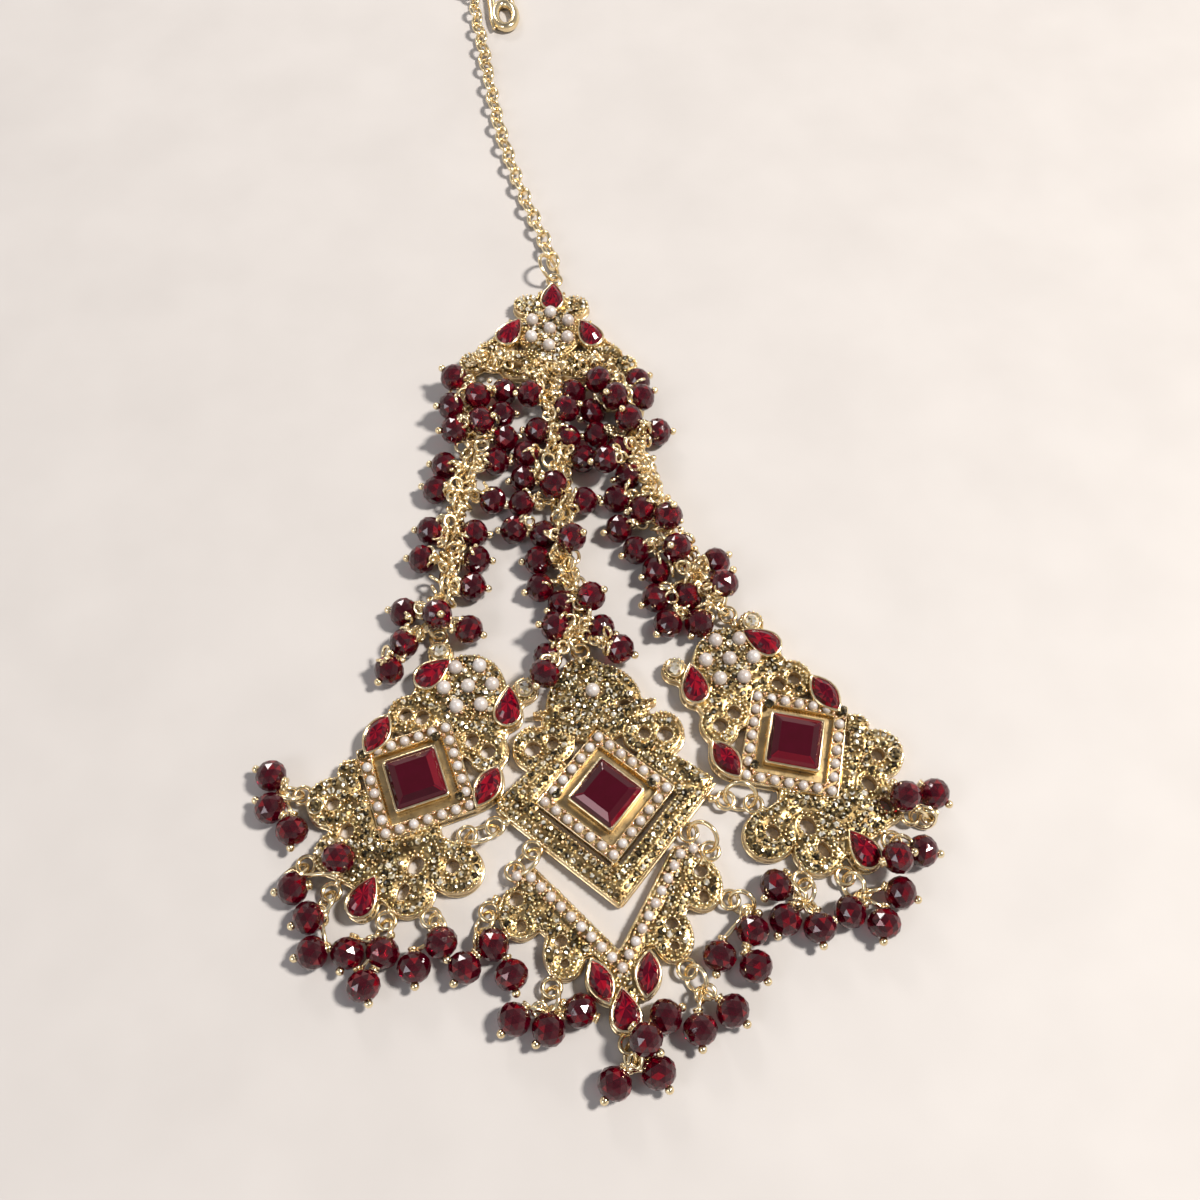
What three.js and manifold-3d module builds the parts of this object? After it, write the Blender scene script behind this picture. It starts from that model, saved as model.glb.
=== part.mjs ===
// Jhoomar, a side head ornament that lies on its back: five cast plates set with glass stones, joined by
// jump rings, with three beaded strands, clusters of bead drops, and a chain that ends in a hair hook.
// Millimetres, +Z up. The origin is the middle of the centre plate's back, and +Y runs along the chain.
import * as THREE from 'three';
import { mergeVertices } from 'three/addons/utils/BufferGeometryUtils.js';
import Module from 'manifold-3d';

const wasm = await Module();
wasm.setup();

// ---- Driving dimensions ---------------------------------------------------------------------------
const CLEAR = 0.3;          // gap between a stone and its pocket
const WALL = 0.45;          // bezel wall
const SLIVER = 0.01;        // overlap of two solids that are joined face to face
const BASE = 1.0;           // back sheet, seen in the channel around a square stone
const TRAY = 1.6;           // floor under the pearls
const PAVE = 2.0;           // top of the paved scrolls and bands
const RIM = 2.6;            // top of the bezels
const SEAT = 1.1;           // floor of a stone's pocket
const CROWN = 3.6;          // top of the stones
const THROUGH = 9;          // height that clears every plate, for cutting
const BELOW = -1;           // height under every plate, for cutting

const SQUARE = 6.3;         // side of a square stone, which stands on its corner
const SQUARE_TABLE = 0.66;  // its flat top, as a share of its outline
const SMALL_TABLE = 0.6;    // the same for a pear or a marquise
const CHANNEL = 4.8;        // from the middle of a square stone to the pearl tray's inner side
const TRAY_OUT = 6.5;       // from there to its outer side
const BAND_IN = 7.4;        // the centre plate's lower band, measured the same way
const BAND_OUT = 10.2;
const OUTER = 0.85;         // a side plate's outer stones stand this much nearer to its middle

const BEAD = 2.0;           // radius of a glass bead
const BEAD_GAP = 0.3;       // least gap between two beads
const BEAD_BELT = 0.92;     // a bead's belt, as a share of its radius
const PIN = 0.35;           // radius of a head pin
const WIRE = 0.33;          // radius of the jump rings' wire
const LEAN = 50;            // angle that a jump ring leans out of the plates' plane
const LOOP_HOLE = 1.05;     // radius of the hole in a loop
const LOOP_RIM = 0.6;       // width of the metal around it
const LOOP_NECK = 1.2;      // half the width of the neck that carries it
const LOOP_LOW = 0.8;       // underside of a loop
const LOOP_HIGH = 1.5;      // top of a loop
const REACH = 3.0;          // span of a jump ring that a strand or a cluster of drops hangs on
const CORE = 1.2;           // radius of a strand's core of linked rings
const CORE_HEIGHT = 1.3;    // height of its middle
const CORE_STEP = 4;        // length of a straight stretch of it
const CHAIN = 1.15;         // radius of the fine chain
const CHAIN_STEPS = 28;     // straight stretches in it
const HOOK = 1.8;           // thickness of the hook
const SHANK = 0.9;          // half the width of its bent shank

const GOLD = { color: 0xd8b25c, roughness: 0.3, metalness: 1.0 };
const PAVED = { color: 0xb8a468, roughness: 0.4, metalness: 0.9 };
const RUBY = { color: 0x6e0a1e, roughness: 0.08, metalness: 0.0 };
const GARNET = { color: 0x4a0714, roughness: 0.1, metalness: 0.0 };

// ---- Small helpers --------------------------------------------------------------------------------
const UP = new THREE.Vector3(0, 0, 1);
const vec = (x, y) => new THREE.Vector2(x, y);
const vec3 = (x, y, z) => new THREE.Vector3(x, y, z);
const radians = THREE.MathUtils.degToRad;
const heading = degrees => vec3(Math.cos(radians(degrees)), Math.sin(radians(degrees)), 0);
const table = (names, rows) => rows.map(row => Object.fromEntries(names.map((name, i) => [name, row[i]])));
const turned = (points, degrees) => points.map(p => p.clone().rotateAround(vec(0, 0), radians(degrees)));
const moved = (points, { x, y, turn = 0 }) => turned(points, turn).map(p => p.add(vec(x, y)));

// Rows of a table for the inner side, followed by the same rows for the other side.
function bothSides(rows, narrower = 1) {
  const other = rows.map(row => ({ ...row, x: -row.x * narrower, turn: -(row.turn ?? 0) }));
  return [...rows, ...other];
}

function solidOf(geometry) {
  geometry.deleteAttribute('normal');
  geometry.deleteAttribute('uv');
  const merged = mergeVertices(geometry, 1e-4);
  const vertProperties = Float32Array.from(merged.attributes.position.array);
  const triVerts = Uint32Array.from(merged.index.array);
  return new wasm.Manifold(new wasm.Mesh({ numProp: 3, vertProperties, triVerts }));
}

function geometryOf(solid) {
  const { vertProperties, triVerts } = solid.getMesh();
  const geometry = new THREE.BufferGeometry();
  geometry.setAttribute('position', new THREE.BufferAttribute(Float32Array.from(vertProperties), 3));
  geometry.setIndex(new THREE.BufferAttribute(Uint32Array.from(triVerts), 1));
  geometry.computeVertexNormals();
  return geometry;
}

const joined = solids => solids.reduce((whole, solid) => whole.add(solid));
const cutBy = (solid, cutters) => cutters.reduce((rest, cutter) => rest.subtract(cutter), solid);

// ---- Outlines -------------------------------------------------------------------------------------
const range = count => Array.from({ length: count }, (_, i) => i);

function ellipse(rx, ry, sides = 10) {
  return range(sides).map(i => {
    const angle = 2 * Math.PI * i / sides;
    return vec(rx * Math.cos(angle), ry * Math.sin(angle));
  });
}

// A square on its corner, given the distance from its middle to a side.
function diamond(half) {
  const corner = half * Math.SQRT2;
  return [vec(corner, 0), vec(0, corner), vec(-corner, 0), vec(0, -corner)];
}

// A teardrop with its point up, wider by grow all round.
function pear(length, width, grow) {
  const sides = 10;
  const widest = 0.77;     // the outline's greatest half width, as a share of across
  const along = length / 2 + grow;
  const across = (width / 2 + grow) / widest;
  return range(sides).map(i => {
    const angle = Math.PI / 2 + 2 * Math.PI * i / sides;
    const pinch = Math.sin(Math.PI * i / sides);
    return vec(across * Math.cos(angle) * pinch, along * Math.sin(angle));
  });
}

// A pointed oval, standing up, wider by grow all round.
function marquise(length, width, grow) {
  const steps = 4;
  const along = length / 2 + grow * 1.4;    // more at the points, where the sides meet at an angle
  const across = width / 2 + grow;
  const side = range(steps).map(i => {
    const t = 2 * i / steps - 1;
    return vec(across * (1 - t * t), along * t);
  });
  return [...side, ...side.map(p => vec(-p.x, -p.y))];
}

// A strip along a path, cut square at both ends.
function strip(path, half) {
  const sideways = path.map((point, i) => {
    const before = path[Math.max(i - 1, 0)];
    const after = path[Math.min(i + 1, path.length - 1)];
    const along = after.clone().sub(before).normalize();
    return vec(-along.y, along.x).multiplyScalar(half);
  });
  const left = path.map((point, i) => point.clone().add(sideways[i]));
  const right = path.map((point, i) => point.clone().sub(sideways[i]));
  return [...right, ...left.reverse()];
}

// ---- Solids ---------------------------------------------------------------------------------------
function slab(points, low, high) {
  const shape = new THREE.Shape(points);
  const geometry = new THREE.ExtrudeGeometry(shape, { depth: high - low, bevelEnabled: false });
  geometry.translate(0, 0, low);
  return solidOf(geometry);
}

function between(from, to, radius, sides = 4) {
  const geometry = new THREE.CylinderGeometry(radius, radius, from.distanceTo(to), sides);
  const along = to.clone().sub(from).normalize();
  geometry.applyQuaternion(new THREE.Quaternion().setFromUnitVectors(vec3(0, 1, 0), along));
  const middle = from.clone().lerp(to, 0.5);
  geometry.translate(middle.x, middle.y, middle.z);
  return solidOf(geometry);
}

function beadAt(centre, along) {
  const end = 0.95 * BEAD;
  const belt = BEAD_BELT * BEAD;
  const facet = 0.4 * BEAD;
  const profile = [vec(0, -end), vec(belt, -facet), vec(belt, facet), vec(0, end)];
  const geometry = new THREE.LatheGeometry(profile, 6);
  geometry.applyQuaternion(new THREE.Quaternion().setFromUnitVectors(vec3(0, 1, 0), along));
  geometry.translate(centre.x, centre.y, centre.z);
  return solidOf(geometry);
}

// A bead whose hole runs along a direction, on a head pin that starts at root.
const threadedBead = (root, centre, along) => between(root, centre, PIN).add(beadAt(centre, along));

// The jump ring that leans and passes down through the holes at a and b. Both holes are in loops at
// the same height, and the ring's lowest point is on the ground.
function jumpRing(a, b) {
  const lean = radians(LEAN);
  const loopMiddle = (LOOP_LOW + LOOP_HIGH) / 2;
  const below = (loopMiddle - WIRE) / Math.sin(lean);
  const halfSpan = a.distanceTo(b) / 2;
  const radius = (halfSpan * halfSpan + below * below) / (2 * below);
  const rise = radius - below;
  const out = b.clone().sub(a).normalize();
  const aside = UP.clone().cross(out);
  const slope = aside.clone().multiplyScalar(Math.cos(lean)).addScaledVector(UP, Math.sin(lean));
  const middle = a.clone().lerp(b, 0.5);
  middle.z = loopMiddle;
  middle.addScaledVector(slope, rise);
  const sides = 4;
  const profile = range(sides + 1).map(i => {
    const angle = 2 * Math.PI * i / sides;
    return vec(radius + WIRE * Math.cos(angle), WIRE * Math.sin(angle));
  });
  const geometry = new THREE.LatheGeometry(profile, 10);
  geometry.applyMatrix4(new THREE.Matrix4().makeBasis(out, slope.clone().cross(out), slope));
  geometry.translate(middle.x, middle.y, middle.z);
  return { solid: solidOf(geometry), far: middle.clone().addScaledVector(out, radius - WIRE) };
}

// A flat loop with its hole at a point, and a short neck back to the metal that carries it.
function loopAt({ x, y, turn }) {
  const circle = radius => moved(ellipse(radius, radius, 8), { x, y, turn: 22.5 });
  const rim = slab(circle(LOOP_HOLE + LOOP_RIM), LOOP_LOW, LOOP_HIGH);
  const neckPath = [vec(-LOOP_HOLE - 2 * LOOP_RIM, 0), vec(-LOOP_HOLE, 0)];
  const neck = slab(moved(strip(neckPath, LOOP_NECK), { x, y, turn }), LOOP_LOW, LOOP_HIGH);
  const hole = slab(circle(LOOP_HOLE), BELOW, THROUGH);
  return { metal: rim.add(neck), hole };
}

// A tube along a smooth curve through points.
function tube(points, radius, sides, steps) {
  const path = new THREE.CatmullRomCurve3(points);
  const section = new THREE.Shape(ellipse(radius, radius, sides));
  return solidOf(new THREE.ExtrudeGeometry(section, { steps, extrudePath: path, bevelEnabled: false }));
}

// ---- Plate designs --------------------------------------------------------------------------------
const LOBE = ['x', 'y', 'rx', 'ry'];
const STONE = ['cut', 'x', 'y', 'turn', 'length', 'width'];
const TAB = ['name', 'x', 'y', 'turn'];

// A side plate, with the inner side at +x and the flower up. The middle is the square stone's.
const SIDE_LOBES = table(LOBE, [
  [0, 14.2, 5.0, 5.0],        // flower
  [3.9, 8.0, 2.5, 2.6],       // upper scroll, inner side
  [6.6, 7.5, 2.5, 2.8],
  [-3.6, 8.0, 2.4, 2.5],      // upper scroll, outer side
  [-5.8, 7.4, 2.4, 2.7],
  [6.9, 17.4, 1.7, 1.7],      // shoulders
  [-6.0, 17.2, 1.7, 1.7],
  [-8.6, -2.7, 1.5, 1.5],     // nub on the outer side
  [-7.8, -4.8, 1.9, 1.9],     // between the nub and the wing
  [10.0, -7.9, 3.6, 3.3],     // wings
  [-8.4, -7.3, 3.3, 3.3],
  [5.3, -9.9, 2.6, 2.4],      // lower scroll, inner side
  [6.2, -13.0, 3.2, 3.2],
  [-4.6, -9.9, 2.4, 2.4],     // lower scroll, outer side
  [-4.6, -12.8, 2.7, 2.9],
]);
const SIDE_HOLES = table(LOBE, [
  [3.9, 7.9, 0.9, 1.0],
  [6.5, 7.5, 1.0, 1.0],
  [-3.6, 7.9, 0.9, 1.0],
  [-5.8, 7.3, 0.9, 0.9],
  [9.6, -7.9, 0.9, 0.9],
  [-8.2, -7.4, 0.9, 0.9],
  [5.4, -9.8, 1.0, 1.2],
  [5.6, -13.4, 0.7, 1.1],
  [-4.7, -9.8, 0.9, 1.1],
  [-4.7, -13.2, 0.7, 1.0],
]);
const SIDE_BANDS = [
  { half: 3.0, path: [vec(0, 8.5), vec(0, 12)] },
  { half: 1.3, path: [vec(-6.5, 10.3), vec(7.5, 10.3)] },
  { half: 1.3, path: [vec(4, 12), vec(6.9, 17)] },
  { half: 1.3, path: [vec(-4, 12), vec(-6.0, 17)] },
  { half: 1.2, path: [vec(-7, -1.2), vec(-9, -2.7)] },
  { half: 1.5, path: [vec(-8.0, -6), vec(-4.5, -6)] },
  { half: 1.5, path: [vec(4.5, -6.5), vec(10, -6.5)] },
  { half: 4.2, path: [vec(0, -8.8), vec(0, -15.5)] },
  { half: 1.2, path: [vec(1.5, -9), vec(6.2, -4.8)] },
  { half: 1.2, path: [vec(-1.5, -9), vec(-6.2, -4.8)] },
];
const SIDE_STONES = [
  ...bothSides(table(STONE, [
    ['pear', 6.1, 14.1, 25, 5.0, 2.8],
    ['marquise', 8.9, 3.1, 0, 5.0, 2.5],
  ]), OUTER),
  { cut: 'pear', x: 1.7, y: -16.0, turn: 0, length: 4.8, width: 2.8 },
];

// The centre plate, with the chain's side up.
const CENTRE_LOBES = [
  ...bothSides(table(LOBE, [
    [5.9, 8.0, 2.7, 2.9],       // side scroll
    [8.7, 7.6, 2.7, 3.0],
    [4.6, 11.2, 2.6, 2.2],      // foot of the fan
    [10.6, 0, 2.0, 1.2],        // bridge from the tray to the lower band
  ])),
  { x: 0, y: 13.0, rx: 6.4, ry: 5.6 },
  { x: -0.9, y: 17.4, rx: 3.0, ry: 2.3 },
  { x: 0, y: -10.2, rx: 1.0, ry: 1.4 },
];
const CENTRE_HOLES = bothSides(table(LOBE, [
  [6.1, 7.9, 0.8, 0.9],
  [8.8, 7.4, 1.1, 1.0],
  [3.9, 12.4, 1.0, 0.4],
]));
const CENTRE_BANDS = [
  { half: 1.2, path: [vec(13.4, -0.2), vec(6.0, 5.9)] },
  { half: 1.2, path: [vec(-13.4, -0.2), vec(-6.0, 5.9)] },
  { half: 1.3, path: [vec(10.4, 1.0), vec(5.4, 5.7)] },
  { half: 1.3, path: [vec(-10.4, 1.0), vec(-5.4, 5.7)] },
  { half: 0.4, path: [vec(-8.3, 12.2), vec(-5.0, 12.2)] },
  { half: 0.4, path: [vec(8.3, 12.2), vec(5.0, 12.2)] },
];

// The chevron plate. The middle is where its two rows of pearls meet, and its arms rise from there.
const ARM = { half: 37.1, length: 16.6, inside: 1.3, outside: 1.2 };
const CHEVRON_LOBES = [
  ...bothSides(table(LOBE, [
    [9.7, 12.1, 1.7, 1.7],      // cluster at the end of an arm
    [11.4, 8.6, 2.7, 3.3],      // upper scroll
    [6.8, 2.9, 2.5, 3.2],       // lower scroll
  ])),
  { x: 0, y: -1.4, rx: 3.2, ry: 2.2 },
];
const CHEVRON_HOLES = bothSides(table(LOBE, [
  [11.7, 10.3, 0.9, 0.9],
  [11.5, 7.0, 0.6, 0.8],
  [6.9, 4.4, 0.8, 0.7],
  [6.8, 1.7, 0.6, 0.5],
]));
const CHEVRON_BANDS = [
  { half: 1.4, path: [vec(0, -1), vec(-0.5, -7.4)] },
  { half: 1.5, path: [vec(6.2, 9.2), vec(11, 9.4)] },
  { half: 1.5, path: [vec(-6.2, 9.2), vec(-11, 9.4)] },
  { half: 1.6, path: [vec(3.0, 3.6), vec(6.8, 4.2)] },
  { half: 1.6, path: [vec(-3.0, 3.6), vec(-6.8, 4.2)] },
  { half: 1.5, path: [vec(4.8, 2.7), vec(10.2, 9.8)] },
  { half: 1.5, path: [vec(-4.8, 2.7), vec(-10.2, 9.8)] },
];
const CHEVRON_STONES = [
  { cut: 'pear', x: -0.5, y: -4.8, turn: 0, length: 4.4, width: 2.8 },
  ...bothSides(table(STONE, [['marquise', 2.9, -1.2, -14, 4.6, 2.3]])),
];

// The top plate, with the chain's side up. The middle is the middle of its flower.
const TOP_LOBES = [
  ...bothSides(table(LOBE, [
    [3.7, 5.2, 2.3, 2.0],
    [8.6, -4.6, 2.9, 2.6],
    [11.9, -6.2, 1.9, 1.7],
    [4.6, -6.4, 3.0, 2.6],
  ])),
  { x: 0, y: 0, rx: 5.0, ry: 5.0 },
  { x: 0, y: -6.6, rx: 3.2, ry: 2.6 },
];
const TOP_HOLES = bothSides(table(LOBE, [
  [4.9, -6.8, 1.0, 0.9],
  [8.9, -5.2, 1.1, 0.9],
]));
const TOP_BANDS = [
  { half: 2.2, path: [vec(0, 3), vec(0, 8.0)] },
  { half: 1.5, path: [vec(-5, 1.5), vec(-8.5, -3.5)] },
  { half: 1.5, path: [vec(5, 1.5), vec(8.5, -3.5)] },
];
const TOP_STONES = [
  { cut: 'pear', x: 0.2, y: 6.5, turn: 0, length: 4.6, width: 2.8 },
  ...bothSides(table(STONE, [['pear', 6.1, -0.6, 30, 4.8, 2.8]])),
];

// Where each plate lies. Flip swaps a side plate's inner and outer sides.
const PLACES = {
  centre_plate: { x: 0, y: 0, turn: 0, flip: 1 },
  left_plate: { x: -24.2, y: 5.0, turn: -32.5, flip: 1 },
  right_plate: { x: 25.5, y: 4.0, turn: 27, flip: -1 },
  chevron_plate: { x: -0.7, y: -21.8, turn: 2, flip: 1 },
  top_plate: { x: 0.6, y: 75.8, turn: -8, flip: 1 },
};

// Loops for the jump rings, in the plate's own frame. Turn is the way out of the plate.
const TABS = {
  centre_plate: table(TAB, [
    ['link_left', -14.6, -2.2, 195],
    ['link_right', 15.3, -2.4, -15],
    ['chevron_left', -10.1, -5.8, 225],
    ['chevron_right', 9.9, -6.0, -45],
    ['strand_middle', -0.9, 20.8, 95],
  ]),
  left_plate: table(TAB, [
    ['link_left', 9.3, -3.5, 67],
    ['strand_left', -7.3, 19.2, 120],
    ['drops_left_1', -12.4, -8.0, 190],
    ['drops_left_2', -7.2, -15.6, 235],
    ['drops_left_3', -2.6, -17.2, 265],
    ['drops_left_4', 5.4, -17.3, 280],
    ['drops_left_5', 10.2, -14.6, 320],
  ]),
  right_plate: table(TAB, [
    ['link_right', 9.3, -3.5, 67],
    ['strand_right', -4.2, 20.2, 95],
    ['drops_right_1', 10.2, -14.8, 310],
    ['drops_right_2', 5.4, -17.4, 280],
    ['drops_right_3', -2.4, -17.2, 265],
    ['drops_right_4', -6.5, -16.0, 235],
  ]),
  chevron_plate: table(TAB, [
    ['chevron_left', -11.4, 13.9, 135],
    ['chevron_right', 13.4, 12.6, 45],
    ['drops_chevron_1', -15.2, 9.4, 233],
    ['drops_chevron_2', -8.8, -0.8, 245],
    ['drops_chevron_3', -0.6, -8.6, 270],
    ['drops_chevron_4', 7.8, -1.2, 290],
    ['drops_chevron_5', 14.6, 6.2, 325],
  ]),
  top_plate: table(TAB, [
    ['top_ring', 0.3, 10.9, 90],
    ['strand_left', -12.4, -8.9, 265],
    ['strand_middle', -0.5, -10.0, 270],
    ['strand_right', 9.2, -8.6, 275],
  ]),
};

// A point of a plate's own frame, in the ornament's.
function inPlace(plate, { x, y }) {
  const place = PLACES[plate];
  const point = moved([vec(x * place.flip, y)], place)[0];
  return vec3(point.x, point.y, 0);
}

const tabNamed = (plate, name) => TABS[plate].find(tab => tab.name === name);
const tabPoint = (plate, name) => inPlace(plate, tabNamed(plate, name));

function tabHeading(plate, name) {
  const place = PLACES[plate];
  const out = heading(tabNamed(plate, name).turn);
  return vec3(out.x * place.flip, out.y, 0).applyAxisAngle(UP, radians(place.turn));
}

// ---- Building the plates --------------------------------------------------------------------------
const CUTS = { pear, marquise };
const outlineOf = (stone, grow) => moved(CUTS[stone.cut](stone.length, stone.width, grow), stone);

function squareFrame() {
  const tray = slab(diamond(TRAY_OUT), 0, TRAY);
  const channel = slab(diamond(CHANNEL), BASE, THROUGH);
  const bezel = slab(diamond(SQUARE / 2 + CLEAR + WALL), 0, RIM);
  return tray.subtract(channel).add(bezel);
}

function plateSolid({ lobes, holes, bands, outlines = [], stones, square, tabs }) {
  const loops = tabs.map(loopAt);
  const paved = joined([
    ...lobes.map(lobe => slab(moved(ellipse(lobe.rx, lobe.ry), lobe), 0, PAVE)),
    ...bands.map(band => slab(strip(band.path, band.half), 0, PAVE)),
    ...outlines.map(points => slab(points, 0, PAVE)),
  ]);
  const piercings = holes.map(hole => slab(moved(ellipse(hole.rx, hole.ry, 8), hole), BELOW, THROUGH));
  const pierced = cutBy(paved, piercings);
  const aroundFrame = square ? pierced.subtract(slab(diamond(TRAY_OUT - SLIVER), BELOW, THROUGH)) : pierced;
  const settings = stones.map(stone => slab(outlineOf(stone, CLEAR + WALL), 0, RIM));
  const frames = square ? [squareFrame()] : [];
  const metal = joined([aroundFrame, ...frames, ...settings, ...loops.map(loop => loop.metal)]);
  const pockets = stones.map(stone => slab(outlineOf(stone, CLEAR), SEAT, THROUGH));
  const squarePocket = square ? [slab(diamond(SQUARE / 2 + CLEAR), SEAT, THROUGH)] : [];
  return cutBy(metal, [...pockets, ...squarePocket, ...loops.map(loop => loop.hole)]);
}

// A stone whose sides stand up to its girdle and then lean in to a flat table.
function stoneSolid(points, middle, share) {
  const low = SEAT + CLEAR;
  const geometry = new THREE.ExtrudeGeometry(new THREE.Shape(points), {
    depth: CROWN - low, steps: 2, bevelEnabled: false,
  });
  geometry.translate(0, 0, low);
  const position = geometry.attributes.position;
  for (let i = 0; i < position.count; i += 1) {
    if (position.getZ(i) > CROWN - SLIVER) {
      position.setX(i, middle.x + (position.getX(i) - middle.x) * share);
      position.setY(i, middle.y + (position.getY(i) - middle.y) * share);
    }
  }
  return solidOf(geometry);
}

// ---- The ornament ---------------------------------------------------------------------------------
const jhoomar = new THREE.Group();

function put(name, solid, finish, parent) {
  const mesh = new THREE.Mesh(geometryOf(solid), new THREE.MeshStandardMaterial(finish));
  mesh.name = name;
  parent.add(mesh);
}

function plateGroup(name) {
  const { x, y, turn, flip } = PLACES[name];
  const group = new THREE.Group();
  group.position.set(x, y, 0);
  group.rotation.z = radians(turn);
  jhoomar.add(group);
  return { group, flip };
}

// Turns a table's inner side to the other side.
const flipped = (rows, flip) => rows.map(row => ({
  ...row, x: row.x * flip, turn: (row.turn ?? 0) * flip,
}));
const flippedTabs = (rows, flip) => rows.map(row => ({
  ...row, x: row.x * flip, turn: flip > 0 ? row.turn : 180 - row.turn,
}));
const flippedBands = (bands, flip) => bands.map(({ half, path }) => ({
  half, path: path.map(p => vec(p.x * flip, p.y)),
}));

function putPlate(name, design, prefix) {
  const { group, flip } = plateGroup(name);
  const stones = flipped(design.stones, flip);
  const solid = plateSolid({
    ...design,
    lobes: flipped(design.lobes, flip),
    holes: flipped(design.holes, flip),
    bands: flippedBands(design.bands, flip),
    stones,
    tabs: flippedTabs(TABS[name], flip),
  });
  put(name, solid, PAVED, group);
  if (design.square) {
    put(`${prefix}_stone`, stoneSolid(diamond(SQUARE / 2), vec(0, 0), SQUARE_TABLE), RUBY, group);
  }
  stones.forEach((stone, i) => {
    const cut = stoneSolid(outlineOf(stone, 0), stone, SMALL_TABLE);
    put(`${prefix}_${design.stoneNames[i]}`, cut, RUBY, group);
  });
}

// The centre plate's lower band: half of a square frame that stands on its corner.
function lowerBand() {
  const out = BAND_OUT * Math.SQRT2;
  const inside = BAND_IN * Math.SQRT2;
  return [vec(-out, 0), vec(0, -out), vec(out, 0), vec(inside, 0), vec(0, -inside), vec(-inside, 0)];
}

// The chevron's two arms in one outline.
function arms() {
  const slope = radians(ARM.half);
  const along = vec(Math.sin(slope), Math.cos(slope)).multiplyScalar(ARM.length);
  const out = vec(Math.cos(slope), -Math.sin(slope));
  const outerEnd = along.clone().addScaledVector(out, ARM.outside);
  const innerEnd = along.clone().addScaledVector(out, -ARM.inside);
  const mirror = p => vec(-p.x, p.y);
  const low = vec(0, -ARM.outside / Math.sin(slope));
  const high = vec(0, ARM.inside / Math.sin(slope));
  return [low, outerEnd, innerEnd, high, mirror(innerEnd), mirror(outerEnd)];
}

const sideNames = ['pear_inner', 'marquise_inner', 'pear_outer', 'marquise_outer', 'pear_foot'];
const side = {
  lobes: SIDE_LOBES, holes: SIDE_HOLES, bands: SIDE_BANDS,
  stones: SIDE_STONES, square: true, stoneNames: sideNames,
};
putPlate('centre_plate', {
  lobes: CENTRE_LOBES, holes: CENTRE_HOLES, bands: CENTRE_BANDS, outlines: [lowerBand()],
  stones: [], square: true, stoneNames: [],
}, 'centre');
putPlate('left_plate', side, 'left');
putPlate('right_plate', side, 'right');
putPlate('chevron_plate', {
  lobes: CHEVRON_LOBES, holes: CHEVRON_HOLES, bands: CHEVRON_BANDS, outlines: [arms()],
  stones: CHEVRON_STONES, square: false, stoneNames: ['pear', 'marquise_right', 'marquise_left'],
}, 'chevron');
putPlate('top_plate', {
  lobes: TOP_LOBES, holes: TOP_HOLES, bands: TOP_BANDS,
  stones: TOP_STONES, square: false, stoneNames: ['pear_top', 'pear_right', 'pear_left'],
}, 'top');

// Jump rings that join two plates' loops.
const LINKS = table(['name', 'from', 'to'], [
  ['link_left', 'centre_plate', 'left_plate'],
  ['link_right', 'centre_plate', 'right_plate'],
  ['chevron_left', 'centre_plate', 'chevron_plate'],
  ['chevron_right', 'centre_plate', 'chevron_plate'],
]);
LINKS.forEach(({ name, from, to }) => {
  put(`${name}_ring`, jumpRing(tabPoint(from, name), tabPoint(to, name)).solid, GOLD, jhoomar);
});

// The jump ring through a plate's loop, when what hangs on it isn't another plate.
function ringOn(plate, name) {
  const start = tabPoint(plate, name);
  return jumpRing(start, start.clone().addScaledVector(tabHeading(plate, name), REACH));
}

// ---- Strands and drops ----------------------------------------------------------------------------
const POINT = ['x', 'y'];
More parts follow.
